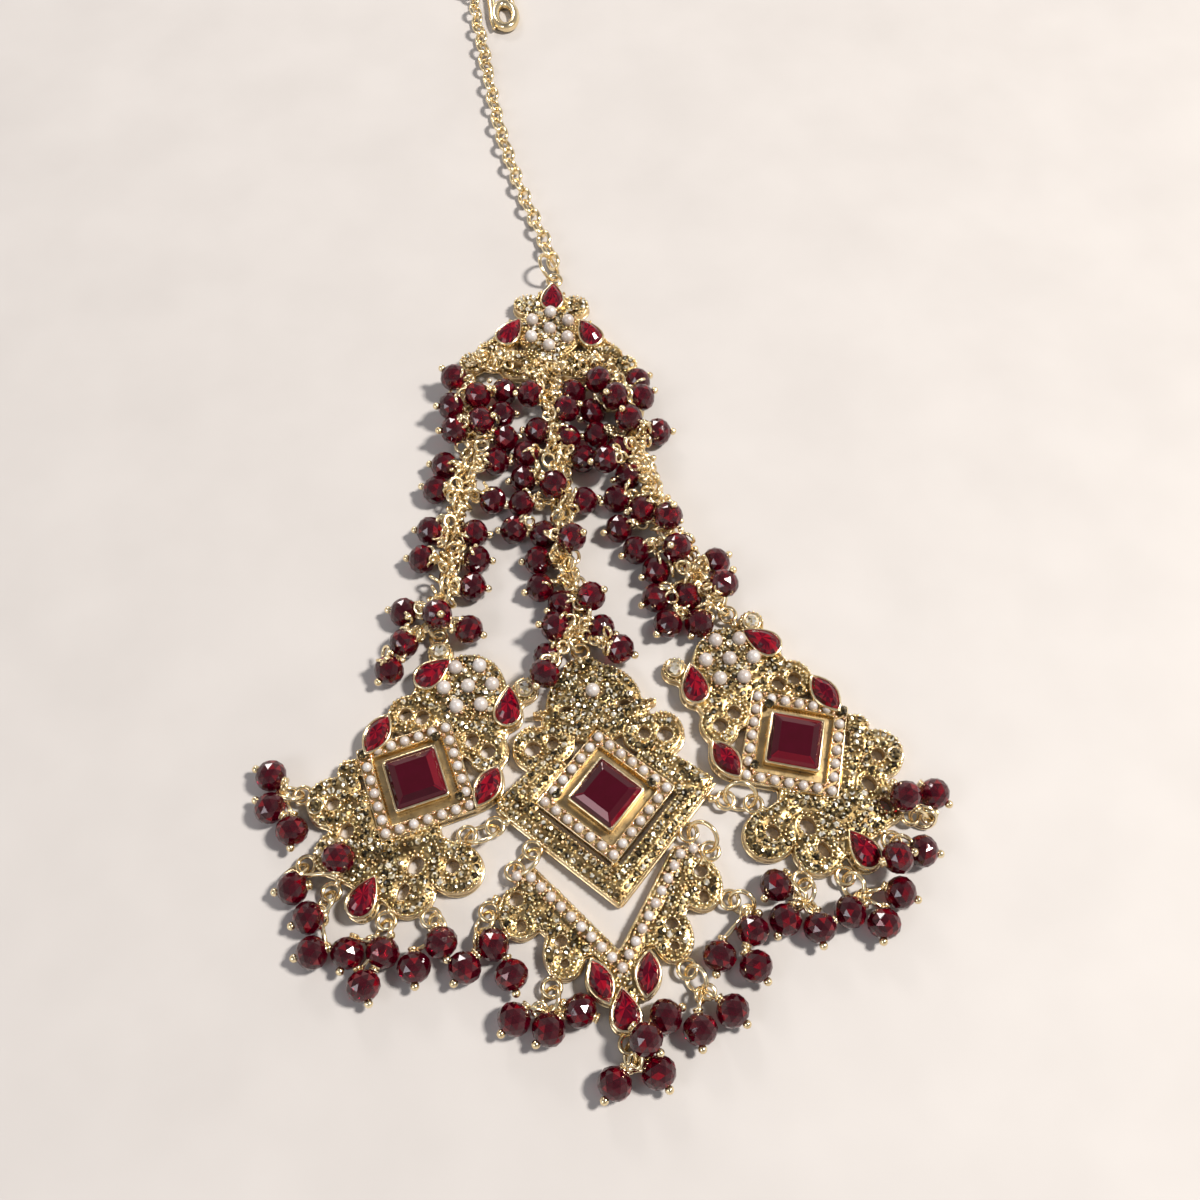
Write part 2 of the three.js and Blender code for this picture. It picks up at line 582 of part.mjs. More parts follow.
// A bead's least is the height of its middle where something under it keeps it off the ground.
const BEADS = ['x', 'y', 'least'];
const STRANDS = [
  {
    name: 'strand_left', to: 'left_plate',
    core: table(POINT, [[-13.2, 60], [-13.2, 54], [-14.5, 49], [-16.6, 43], [-17.6, 37], [-18.6, 32]]),
    beads: table(BEADS, [
      [-14.9, 67.3, 3.6], [-15.4, 62], [-7.6, 64.4], [-11.5, 58.6], [-15.4, 58], [-17.5, 52.6],
      [-18.9, 48.8], [-9.3, 53.2], [-8, 56.2], [-10.8, 45.9], [-20.2, 41.9], [-21.6, 37.4],
      [-13.9, 40.4], [-13.9, 36.6], [-14.8, 32.2], [-24.6, 29.3], [-19.8, 27.3], [-15.8, 25.4, 2.4],
      [-24.8, 24.6], [-27, 20.9], [-8.2, 60.3], [-11.8, 63],
    ]),
  },
  {
    name: 'strand_middle', to: 'centre_plate',
    core: table(POINT, [[-0.5, 60], [-0.8, 54], [-0.8, 48], [-0.8, 41], [-1.6, 35], [-1.2, 31], [0, 27.5]]),
    beads: table(BEADS, [
      [-3.7, 63], [-3.7, 56.2], [3, 63.5], [2.5, 55.2], [-6, 49.3], [-1.9, 46.2], [-6.6, 45.7], [2.3, 44],
      [-7.8, 40.3], [-4.8, 38.4], [-0.2, 37.1], [-5.1, 35], [-5.3, 32], [-3.3, 26.3], [-4, 24.1],
      [2.4, 23.2], [4.2, 20.2, 2.6], [-5.2, 20.6], [-6.0, 17.4, 4], [-5.7, 53], [1.5, 59.4],
      [1.4, 27.6], [3.4, 51.4],
    ]),
  },
  {
    name: 'strand_right', to: 'right_plate',
    core: table(POINT, [[10.8, 58], [11, 53], [12, 48], [12.6, 43], [13.5, 38], [15, 33.5], [16.8, 29]]),
    beads: table(BEADS, [
      [6.7, 64.2, 3.6], [12.9, 64.3], [12.4, 60.5], [5.4, 58.1], [5.1, 55.6], [14.7, 54.8],
      [7.5, 53], [8.7, 47.5], [7.3, 44], [7.3, 38.5], [13.8, 38.8], [9.3, 33.9], [10.3, 31.4],
      [19.7, 31.9], [11, 28.5], [14.3, 26.6], [11.7, 23.7], [15.4, 23.2], [19.9, 27.4],
      [6.1, 49.8, 3.5], [9.4, 60.3, 4.5], [10.4, 56.2], [9.9, 41.2], [14.2, 33.6],
    ]),
  },
];

// A drop's turn is the way from its bead to the ball on its pin.
const DROP = ['x', 'y', 'z', 'turn'];
const DROPS = [
  { name: 'drops_left_1', plate: 'left_plate', beads: table(DROP, [
    [-42.9, 7.8, 2, 150], [-43.0, 3.4, 2, 145], [-40.3, 0.2, 2, 265],
  ]) },
  { name: 'drops_left_2', plate: 'left_plate', beads: table(DROP, [
    [-34.0, -4.9, 4.7, 80], [-40.0, -7.8, 2, 185],
  ]) },
  { name: 'drops_left_3', plate: 'left_plate', beads: table(DROP, [
    [-38.4, -11.4, 2, 200], [-37.3, -14.8, 2, 190],
  ]) },
  { name: 'drops_left_4', plate: 'left_plate', beads: table(DROP, [
    [-34.0, -16.2, 2, 245], [-31.9, -19.4, 2, 285], [-29.6, -16.9, 2, 60],
  ]) },
  { name: 'drops_left_5', plate: 'left_plate', beads: table(DROP, [
    [-26.0, -18.3, 2, 270], [-22.2, -16.5, 2, 285],
  ]) },
  { name: 'drops_right_1', plate: 'right_plate', beads: table(DROP, [
    [19.6, -14.2, 2, 220], [19.8, -18.6, 2, 235], [24.0, -19.9, 2, 270],
  ]) },
  { name: 'drops_right_2', plate: 'right_plate', beads: table(DROP, [
    [28.0, -18.6, 2, 200], [31.9, -20.4, 2, 255], [34.8, -17.0, 2, 330],
  ]) },
  { name: 'drops_right_3', plate: 'right_plate', beads: table(DROP, [
    [34.9, -13.1, 4.2, 10], [38.8, -12.2, 2, 343],
  ]) },
  { name: 'drops_right_4', plate: 'right_plate', beads: table(DROP, [
    [37.6, -5.6, 4.4, 120], [41.9, -5.2, 2.4, 315],
  ]) },
  { name: 'drops_chevron_1', plate: 'chevron_plate', beads: table(DROP, [
    [-19.6, -18.9, 2, 229], [-16.3, -17.5, 2, 210], [-14.2, -20.8, 2, 280],
  ]) },
  { name: 'drops_chevron_2', plate: 'chevron_plate', beads: table(DROP, [
    [-14.2, -26.1, 2, 221], [-10.3, -27.7, 2, 221], [-6.4, -26.1, 2, 150],
  ]) },
  { name: 'drops_chevron_3', plate: 'chevron_plate', beads: table(DROP, [
    [-3.3, -34.6, 2, 230], [1.9, -33.6, 2, 295], [1.3, -30.6, 3.6, 310], [3.6, -28.3, 2, 20],
  ]) },
  { name: 'drops_chevron_4', plate: 'chevron_plate', beads: table(DROP, [
    [7.3, -29.8, 2, 268], [11.7, -28.3, 2, 310],
  ]) },
  { name: 'drops_chevron_5', plate: 'chevron_plate', beads: table(DROP, [
    [11.2, -21.8, 2, 250], [15.9, -19.6, 2, 60], [15.4, -23.2, 2, 300],
  ]) },
];

const SETTLE_ROUNDS = 200;

// Beads that would cross are pushed apart, and none sinks into the ground.
function settle(centres) {
  const apart = 2 * BEAD + BEAD_GAP;
  for (let round = 0; round < SETTLE_ROUNDS; round += 1) {
    centres.forEach((a, i) => centres.slice(i + 1).forEach(b => {
      const way = b.clone().sub(a);
      const push = (apart - way.length()) / 2;
      if (push > 0) {
        way.setLength(push);
        a.sub(way);
        b.add(way);
      }
    }));
    centres.forEach(centre => {
      centre.z = Math.max(centre.z, BEAD);
    });
  }
}

const CURVE_POINTS = 80;

function nearestOn(curve, point) {
  const gap = p => Math.hypot(p.x - point.x, p.y - point.y);
  return curve.getPoints(CURVE_POINTS).reduce((best, p) => (gap(p) < gap(best) ? p : best));
}

// A bead beside a strand's core lies on the ground, and a nearer one rides up on the core.
function restHeight(point, curve) {
  const reach = BEAD + CORE;
  const nearest = nearestOn(curve, point);
  const aside = Math.hypot(point.x - nearest.x, point.y - nearest.y);
  const onCore = aside < reach ? CORE_HEIGHT + Math.sqrt(reach * reach - aside * aside) : BEAD;
  return Math.max(BEAD, onCore, point.least ?? 0);
}

const strands = STRANDS.map(({ name, to, core, beads }) => {
  const first = ringOn('top_plate', name);
  const last = ringOn(to, name);
  const middle = core.map(p => vec3(p.x, p.y, CORE_HEIGHT));
  const points = [first.far.clone().setZ(CORE_HEIGHT), ...middle, last.far.clone().setZ(CORE_HEIGHT)];
  const curve = new THREE.CatmullRomCurve3(points);
  const centres = beads.map(p => vec3(p.x, p.y, restHeight(p, curve)));
  return { name, first, last, points, curve, centres };
});
const drops = DROPS.map(({ name, plate, beads }) => ({
  name, ring: ringOn(plate, name), beads, centres: beads.map(b => vec3(b.x, b.y, b.z)),
}));
settle([...strands, ...drops].flatMap(string => string.centres));

strands.forEach(({ name, first, last, points, curve, centres }) => {
  const beads = centres.map(centre => {
    const root = nearestOn(curve, centre);
    const along = centre.clone().sub(root).normalize();
    return threadedBead(root, centre, along);
  });
  const steps = Math.round(curve.getLength() / CORE_STEP);
  put(name, joined([first.solid, last.solid, tube(points, CORE, 6, steps), ...beads]), GARNET, jhoomar);
});
drops.forEach(({ name, ring, beads, centres }) => {
  const threaded = centres.map((centre, i) => threadedBead(ring.far, centre, heading(beads[i].turn)));
  put(name, joined([ring.solid, ...threaded]), GARNET, jhoomar);
});

// ---- Chain and hook -------------------------------------------------------------------------------
const CHAIN_ROUTE = table(POINT, [
  [2.6, 92.2], [1.4, 96], [0.2, 101], [-0.9, 106], [-1.8, 110.5], [-2.7, 116], [-3.4, 121], [-3.9, 127],
  [-4.3, 133], [-4.6, 139], [-4.9, 145], [-5.3, 150], [-5.4, 155.2],
]);
const HOOK_TAB = { x: -5.0, y: 160.6, turn: 180 };
const CHAIN_TABS = table(['x', 'y', 'turn'], [
  [2.6, 90.4, -90],
  [-5.3, 157.0, 90],
]);

function chainSolid() {
  const route = CHAIN_ROUTE.map(p => vec3(p.x, p.y, CHAIN));
  const loops = CHAIN_TABS.map(loopAt);
  const links = tube(route, CHAIN, 8, CHAIN_STEPS);
  return cutBy(joined([links, ...loops.map(loop => loop.metal)]), loops.map(loop => loop.hole));
}

// A long eye, a pointed arm that stands beside it, and a bend over the top that comes back down to the eye.
const EYE = { x: 0, y: 150.8, rx: 2.7, ry: 4.1 };
const EYE_HOLE = { x: -0.1, y: 150.4, rx: 1.3, ry: 2.6 };
const ARM_OUTLINE = [vec(-2.35, 147.1), vec(-1.5, 149.5), vec(-1.3, 160), vec(-3.1, 160), vec(-3.0, 149.5)];
const BEND = { x: -0.4, y: 160, radius: 1.8, steps: 8 };
const SHANK_END = vec(1.2, 153.5);

function hookSolid() {
  const eye = slab(moved(ellipse(EYE.rx, EYE.ry, 16), EYE), 0, HOOK);
  const eyeHole = slab(moved(ellipse(EYE_HOLE.rx, EYE_HOLE.ry, 12), EYE_HOLE), BELOW, THROUGH);
  const bend = range(BEND.steps + 1).map(i => {
    const out = heading(180 - 180 * i / BEND.steps).multiplyScalar(BEND.radius);
    return vec(BEND.x + out.x, BEND.y + out.y);
  });
  const shank = slab(strip([...bend, SHANK_END], SHANK), 0, HOOK);
  const loop = loopAt(HOOK_TAB);
  return cutBy(joined([eye, slab(ARM_OUTLINE, 0, HOOK), shank, loop.metal]), [eyeHole, loop.hole]);
}

const asPoint = ({ x, y }) => vec3(x, y, 0);
put('top_ring', jumpRing(tabPoint('top_plate', 'top_ring'), asPoint(CHAIN_TABS[0])).solid, GOLD, jhoomar);
put('head_chain', chainSolid(), GOLD, jhoomar);
put('hook_ring', jumpRing(asPoint(CHAIN_TABS[1]), asPoint(HOOK_TAB)).solid, GOLD, jhoomar);
put('hook', hookSolid(), GOLD, jhoomar);

export default jhoomar;
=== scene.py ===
"""The looks of a jhoomar, a side hair ornament that lies on its back: paved gold plates with pearls and
red stones, strands of linked rings with glass beads, bead drops, and a cable chain with a hair hook.

Shapes are worked out in millimetres, in the CAD model's own frame, and become metres when a piece is made.
"""
import math

import bpy
import numpy as np
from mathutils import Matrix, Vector


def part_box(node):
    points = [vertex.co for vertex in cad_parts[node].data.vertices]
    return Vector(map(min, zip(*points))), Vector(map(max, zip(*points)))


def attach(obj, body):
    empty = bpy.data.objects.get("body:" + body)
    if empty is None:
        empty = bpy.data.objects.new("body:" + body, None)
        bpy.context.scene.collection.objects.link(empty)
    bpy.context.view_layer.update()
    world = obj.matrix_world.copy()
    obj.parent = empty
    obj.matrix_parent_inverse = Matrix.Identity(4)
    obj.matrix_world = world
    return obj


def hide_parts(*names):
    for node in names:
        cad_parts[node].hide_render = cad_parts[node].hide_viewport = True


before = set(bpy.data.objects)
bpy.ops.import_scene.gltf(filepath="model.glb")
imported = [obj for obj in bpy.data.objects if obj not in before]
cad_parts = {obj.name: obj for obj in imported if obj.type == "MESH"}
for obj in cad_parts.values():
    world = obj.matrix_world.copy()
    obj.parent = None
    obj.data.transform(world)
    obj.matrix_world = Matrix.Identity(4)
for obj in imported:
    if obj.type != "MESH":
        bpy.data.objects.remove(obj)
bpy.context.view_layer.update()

MM = 0.001
rng = np.random.default_rng(11)

# ---- Driving sizes, in millimetres ------------------------------------------------------------------
BED = 1.75            # surface under the pearls and large crystals outside a square frame
EDGE_HEIGHT = BED - 0.12    # paved surface at a plate's edge
RELIEF = 0.55         # rise of the paved surface from there to its middle
SWELL = 2.6           # distance from the edge over which it rises
TRAY_BED = 1.55       # surface under the pearls of a square frame
CHANNEL_BED = 1.0     # back sheet, in the channel around a square stone
POCKET_BED = 1.2      # back sheet under a stone
GEM_LOW = 1.5         # underside of the set stones
GEM_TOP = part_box("centre_stone")[1].z / MM
CHAMFER = 0.35        # height of the plates' lower edge, which is half as wide

SQUARE = 6.6          # side of a square stone, which stands on its corner
SQUARE_CORNER = 0.18  # radius of its corners
CHANNEL = 4.8         # from the middle of a square stone to the pearl tray's inner side
PEARL_LINE = 5.6      # from there to the middle of the tray's pearls
TRAY = 6.5            # and to the tray's outer side
BAND_IN = 7.15        # and to the inside of the centre plate's lower band
BAND_OUT = 10.2       # and to its outside
SIDE_PEARLS = 6       # pearls on each side of a square frame
PETALS = 6            # pearls around a flower
PEARL = 0.63          # radius of the small pearls
BIG_PEARL = 0.95      # radius of the flowers' pearls
FLOWER = 3.25         # from a flower's middle to the pearls around it

BEZEL_IN = 0.16       # from a pear or marquise outline to the inside of its bezel
BEZEL_OUT = 0.55      # and to the outside
GEM_GROWTH = 0.22     # how far the stone itself reaches past its outline, into the bezel
POCKET_INSET = 0.25   # from a bezel's outside to the pocket under its stone
BEZEL_TOP = 2.75      # top of the bezels
BEZEL_FOOT = 0.3      # and their foot, inside the cast plate
WALL_FOOT = 0.5       # foot of a square frame's walls, and height of the wire around a plate's side
OUTER = 0.85          # a side plate's outer stones stand at this share of the inner ones' distance

CRYSTAL = 0.5         # radius of a paving stone
PAVING_PITCH = 1.0    # spacing of the paving stones
ROW_PITCH = 0.88 * PAVING_PITCH
NEAREST = 0.86 * PAVING_PITCH    # no two paving stones stand nearer than this
ROWS = (0.78, 6)      # distances from the edge between which the rows of paving lie
RIM = 0.2             # radius of the plain wire around the paving
HOLE_RIM = 0.09       # and around the piercings
GRAIN = 0.22          # radius of a grain between paving stones
GRAIN_TRIES = 9000    # random spots that are tried for grains on each plate

BEAD = 2.0            # radius of a glass bead
BEAD_GAP = 0.3        # least gap between two beads
BALL = 0.55           # ball on the end of a head pin
PIN = 0.3             # radius of a head pin
COLLAR = (0.46, 0.22)    # radius and wire of the two rings around the pin at a bead's other end
LINK = (0.85, 0.27)   # radius and wire of the small rings that hold a bead
LINK_PITCH = 1.25     # from one of them to the next
WIRE = 0.3            # radius of the jump rings' wire
LEAN = math.radians(50)    # how steeply the jump rings stand
LOOP = 1.12           # radius of a plate's loops, to the middle of the wire
LOOP_HEIGHT = 1.15    # middle of the loops
NECK = (1.0, 0.55)    # length and radius of the neck between a loop and its plate
REACH = 3.0           # span of a jump ring that a strand or a cluster of drops hangs on
CORE = 1.2            # radius of a strand's core of linked rings
CORE_HEIGHT = 1.3     # middle of the core
CORE_RING = (1.45, 0.34)    # radius and wire of its large rings
CORE_PITCH = 1.7      # from one large ring to the next
BUNCH_PITCH = 0.95    # from one small ring beside them to the next
CHAIN_HEIGHT = 1.15   # middle of the chain
CHAIN_LINK = (1.08, 0.37)    # radius and wire of its links
CHAIN_OVAL = 1.35     # how much longer than wide a link's middle line is
CHAIN_PITCH = 2.5     # from one link to the next
HOOK = 0.9            # height of the hook's middle
HOOK_BAR = 0.85       # radius of its bar

GRID = 0.27           # spacing of the grid that the plates' surfaces are cut from
# The paved tone is the darkest: painted shade in the gaps between the paving stones. A higher tone is lighter
# as well as rosier.
PAVED_SHADE_TONE, FRAME_TONE, PLAIN_TONE = 0.1, 0.45, 0.9    # of the cast sheet: a higher one is rosier


# ---- Outlines ---------------------------------------------------------------------------------------
def table(names, *rows):
    """Rows as dictionaries, with a name for each column."""
    return [dict(zip(names.split(), row)) for row in rows]


def both_sides(rows, share=1.0):
    """The rows, and their mirror image at a share of their distance from the middle line."""
    other = [{**row, "x": -row["x"] * share, "turn": -row.get("turn", 0)} for row in rows]
    return rows + other


def placed(points, row):
    """Points turned and moved as a row says."""
    turn = math.radians(row.get("turn", 0))
    c, s = math.cos(turn), math.sin(turn)
    return points @ np.array([[c, s], [-s, c]]) + (row["x"], row["y"])


def ellipse(rx, ry, sides=36):
    angle = np.linspace(0, 2 * math.pi, sides, endpoint=False)
    return np.stack([rx * np.cos(angle), ry * np.sin(angle)], 1)


def diamond(half):
    corner = half * math.sqrt(2)
    return np.array([(corner, 0), (0, corner), (-corner, 0), (0, -corner)])


def rounded_diamond(half, blunt=0.35, steps=3):
    """A square on its corner, with each corner cut back a little along an arc."""
    arcs = []
    for quarter in range(4):
        middle = math.pi / 2 * quarter
        way = np.array([math.cos(middle), math.sin(middle)])
        angles = middle + np.linspace(-math.pi / 4, math.pi / 4, steps)
        arc = blunt * np.stack([np.cos(angles), np.sin(angles)], 1)
        arcs.append((half * math.sqrt(2) - blunt * math.sqrt(2)) * way + arc)
    return np.vstack(arcs)


def pear(length, width, grow=0.0, sides=20):
    """A teardrop with its point up, wider by grow all round."""
    most = 0.77          # that the cosine times the sine below reaches
    share = np.arange(sides) / sides
    angle = math.pi / 2 + 2 * math.pi * share
    across = (width / 2 + grow) / most
    along = length / 2 + grow
    return np.stack([across * np.cos(angle) * np.sin(math.pi * share), along * np.sin(angle)], 1)


def marquise(length, width, grow=0.0, steps=8):
    """A pointed oval, standing up, wider by grow, and longer by somewhat more at its points."""
    point_growth = 1.4 * grow
    t = 2 * np.arange(steps) / steps - 1
    side = np.stack([(width / 2 + grow) * (1 - t * t), (length / 2 + point_growth) * t], 1)
    return np.vstack([side, -side])


CUTS = {"pear": pear, "marquise": marquise}


def stone_outline(stone, grow):
    return placed(CUTS[stone["cut"]](stone["length"], stone["width"], grow), stone)


def strip(path, half):
    """A strip along a straight path, cut square at both ends."""
    start, end = np.array(path, float)
    along = (end - start) / np.linalg.norm(end - start)
    side = half * np.array([-along[1], along[0]])
    return np.array([start - side, end - side, end + side, start + side])


# ---- Layout of the plates, in millimetres, each in its own frame ------------------------------------
# Bands are strips: half the width, and both ends. Large crystals are x, y, radius and tone.
LOBE = "x y rx ry"
STONE = "cut x y turn length width"
TAB = "name x y turn"
# Both side plates, drawn as the left one. The right one is its mirror image.
SIDE = {
    "lobes": table(
        LOBE,
        (0, 14.2, 5.0, 5.0),          # flower
        (3.9, 8.0, 2.5, 2.6),         # upper scrolls
        (6.6, 7.5, 2.5, 2.8),
        (-3.6, 8.0, 2.4, 2.5),
        (-5.8, 7.4, 2.4, 2.7),
        (6.9, 17.4, 1.7, 1.7),        # shoulders
        (-6.0, 17.2, 1.7, 1.7),
        (-8.6, -2.7, 1.5, 1.5),       # nub
        (-7.8, -4.8, 1.9, 1.9),       # between the nub and the wing
        (10.0, -7.9, 3.6, 3.3),       # wings
        (-8.4, -7.3, 3.3, 3.3),
        (5.3, -9.9, 2.6, 2.4),        # lower scrolls
        (6.2, -13.0, 3.2, 3.2),
        (-4.6, -9.9, 2.4, 2.4),
        (-4.6, -12.8, 2.7, 2.9),
    ),
    "holes": table(
        LOBE,
        (3.9, 7.9, 0.9, 1.0), (6.5, 7.5, 1.0, 1.0), (-3.6, 7.9, 0.9, 1.0), (-5.8, 7.3, 0.9, 0.9),
        (9.6, -7.9, 0.9, 0.9), (-8.2, -7.4, 0.9, 0.9), (5.4, -9.8, 1.0, 1.2), (5.6, -13.4, 0.7, 1.1),
        (-4.7, -9.8, 0.9, 1.1), (-4.7, -13.2, 0.7, 1.0),
    ),
    "bands": [
        (3.0, (0, 8.5), (0, 12)), (1.3, (-6.5, 10.3), (7.5, 10.3)), (1.3, (4, 12), (6.9, 17)),
        (1.3, (-4, 12), (-6.0, 17)), (1.2, (-7, -1.2), (-9, -2.7)), (1.5, (-8.0, -6), (-4.5, -6)),
        (1.5, (4.5, -6.5), (10, -6.5)), (4.2, (0, -8.8), (0, -15.5)),
        (1.2, (1.5, -9), (6.2, -4.8)), (1.2, (-1.5, -9), (-6.2, -4.8)),
    ],
    "stones": both_sides(table(
        STONE, ("pear", 6.1, 14.1, 25, 5.0, 2.8), ("marquise", 8.9, 3.1, 0, 5.0, 2.5),
    ), OUTER) + table(STONE, ("pear", 1.7, -16.0, 0, 4.8, 2.8)),
    "names": ["pear_inner", "marquise_inner", "pear_outer", "marquise_outer", "pear_foot"],
    "square": True,
    "flower": (0, 14.3),
    "channel_crystals": [(6.2, 0.5), (-0.6, 6.2)],
    "dark_corner": True,
    "crystals": [(6.9, 17.4, 1.05, 0.9), (-6.0, 17.2, 1.05, 0.9), (-9.9, -8.7, 0.85, 0.35)],
}
CENTRE = {
    "lobes": both_sides(table(
        LOBE,
        (5.9, 8.0, 2.7, 2.9),         # side scrolls
        (8.7, 7.6, 2.7, 3.0),
        (4.6, 11.2, 2.6, 2.2),        # foot of the fan
        (10.6, 0, 2.0, 1.2),          # bridge from the tray to the lower band
    )) + table(LOBE, (0, 13.0, 6.4, 5.6), (-0.9, 17.4, 3.0, 2.3), (0, -10.2, 1.0, 1.4)),
    "holes": both_sides(table(LOBE, (6.1, 7.9, 0.8, 0.9), (8.8, 7.4, 1.1, 1.0), (3.9, 12.4, 1.0, 0.4))),
    "bands": [
        (1.2, (13.4, -0.2), (6.0, 5.9)), (1.2, (-13.4, -0.2), (-6.0, 5.9)),
        (1.3, (10.4, 1.0), (5.4, 5.7)), (1.3, (-10.4, 1.0), (-5.4, 5.7)),
        (0.4, (-8.3, 12.2), (-5.0, 12.2)), (0.4, (8.3, 12.2), (5.0, 12.2)),
    ],
    "stones": [],
    "names": [],
    "square": True,
    "lone_pearl": (0, 14.4),
    "channel_crystals": [(6.1, 0.9), (-6.3, 0.9)],
}
ARM = {
    "half": math.radians(37.1), "length": 16.6, "inside": 1.3, "outside": 1.2,
    "pearls": 9, "pitch": 1.75, "end_pearl": (11.2, 13.0),
}
CHEVRON = {
    "lobes": both_sides(table(
        LOBE,
        (9.7, 12.1, 1.7, 1.7),        # cluster at the end of an arm
        (11.4, 8.6, 2.7, 3.3),        # upper scroll
        (6.8, 2.9, 2.5, 3.2),         # lower scroll
    )) + table(LOBE, (0, -1.4, 3.2, 2.2)),
    "holes": both_sides(table(
        LOBE, (11.7, 10.3, 0.9, 0.9), (11.5, 7.0, 0.6, 0.8), (6.9, 4.4, 0.8, 0.7), (6.8, 1.7, 0.6, 0.5),
    )),
    "bands": [
        (1.4, (0, -1), (-0.5, -7.4)), (1.5, (6.2, 9.2), (11, 9.4)), (1.5, (-6.2, 9.2), (-11, 9.4)),
        (1.6, (3.0, 3.6), (6.8, 4.2)), (1.6, (-3.0, 3.6), (-6.8, 4.2)),
        (1.5, (4.8, 2.7), (10.2, 9.8)), (1.5, (-4.8, 2.7), (-10.2, 9.8)),
    ],
    "stones": table(STONE, ("pear", -0.5, -4.8, 0, 4.4, 2.8))
    + both_sides(table(STONE, ("marquise", 2.9, -1.2, -14, 4.6, 2.3))),
    "names": ["pear", "marquise_right", "marquise_left"],
    "square": False,
}
TOP = {
    "lobes": both_sides(table(
        LOBE, (3.7, 5.2, 2.3, 2.0), (8.6, -4.6, 2.9, 2.6), (11.9, -6.2, 1.9, 1.7), (4.6, -6.4, 3.0, 2.6),
    )) + table(LOBE, (0, 0, 5.0, 5.0), (0, -6.6, 3.2, 2.6)),
    "holes": both_sides(table(LOBE, (4.9, -6.8, 1.0, 0.9), (8.9, -5.2, 1.1, 0.9))),
    "bands": [(2.2, (0, 3), (0, 8.0)), (1.5, (-5, 1.5), (-8.5, -3.5)), (1.5, (5, 1.5), (8.5, -3.5))],
    "stones": table(STONE, ("pear", 0.2, 6.5, 0, 4.6, 2.8))
    + both_sides(table(STONE, ("pear", 6.1, -0.6, 30, 4.8, 2.8))),
    "names": ["pear_top", "pear_right", "pear_left"],
    "square": False,
    "lift": 0.18,
    "flower": (0, 0),
}


def lower_band():
    """The centre plate's lower band: half of a square frame that stands on its corner."""
    out, inside = BAND_OUT * math.sqrt(2), BAND_IN * math.sqrt(2)
    return np.array([(-out, 0), (0, -out), (out, 0), (inside, 0), (0, -inside), (-inside, 0)])


def arms():
    """The chevron's two arms in one outline."""
    c, s = math.cos(ARM["half"]), math.sin(ARM["half"])
    end = ARM["length"] * np.array([s, c])
    out = np.array([c, -s])
    outer, inner = end + out * ARM["outside"], end - out * ARM["inside"]
    mirror = np.array([-1, 1])
    low, high = np.array([0, -ARM["outside"] / s]), np.array([0, ARM["inside"] / s])
    return np.array([low, outer, inner, high, inner * mirror, outer * mirror])


CENTRE["outlines"] = [lower_band()]
CHEVRON["outlines"] = [arms()]

# Where each plate lies: its middle, how far it is turned, and whether it is mirrored (-1).
PLATES = {
    "centre": {"design": CENTRE, "x": 0, "y": 0, "turn": 0, "flip": 1},
    "left": {"design": SIDE, "x": -24.2, "y": 5.0, "turn": -32.5, "flip": 1},
    "right": {"design": SIDE, "x": 25.5, "y": 4.0, "turn": 27, "flip": -1},
    "chevron": {"design": CHEVRON, "x": -0.7, "y": -21.8, "turn": 2, "flip": 1},
    "top": {"design": TOP, "x": 0.6, "y": 75.8, "turn": -8, "flip": 1},
}
# The loops on each plate, and the way in degrees in which each one points out.
TABS = {
    "centre": table(
        TAB, ("link_left", -14.6, -2.2, 195), ("link_right", 15.3, -2.4, -15),
        ("chevron_left", -10.1, -5.8, 225), ("chevron_right", 9.9, -6.0, -45),
        ("strand_middle", -0.9, 20.8, 95),
    ),
    "left": table(
        TAB, ("link_left", 9.3, -3.5, 67), ("strand_left", -7.3, 19.2, 120),
        ("drops_left_1", -12.4, -8.0, 190), ("drops_left_2", -7.2, -15.6, 235),
        ("drops_left_3", -2.6, -17.2, 265), ("drops_left_4", 5.4, -17.3, 280),
        ("drops_left_5", 10.2, -14.6, 320),
    ),
    "right": table(
        TAB, ("link_right", 9.3, -3.5, 67), ("strand_right", -4.2, 20.2, 95),
        ("drops_right_1", 10.2, -14.8, 310), ("drops_right_2", 5.4, -17.4, 280),
        ("drops_right_3", -2.4, -17.2, 265), ("drops_right_4", -6.5, -16.0, 235),
    ),
    "chevron": table(
        TAB, ("chevron_left", -11.4, 13.9, 135), ("chevron_right", 13.4, 12.6, 45),
        ("drops_chevron_1", -15.2, 9.4, 233), ("drops_chevron_2", -8.8, -0.8, 245),
        ("drops_chevron_3", -0.6, -8.6, 270), ("drops_chevron_4", 7.8, -1.2, 290),
        ("drops_chevron_5", 14.6, 6.2, 325),
    ),
    "top": table(
        TAB, ("top_ring", 0.3, 10.9, 90), ("strand_left", -12.4, -8.9, 265),
        ("strand_middle", -0.5, -10.0, 270), ("strand_right", 9.2, -8.6, 275),
    ),
}

# ---- Layout of the strands, drops, chain and hook, in millimetres -----------------------------------
# The jump rings between two plates.
LINKS = [
    ("link_left", "centre", "left"), ("link_right", "centre", "right"),
    ("chevron_left", "centre", "chevron"), ("chevron_right", "centre", "chevron"),
]
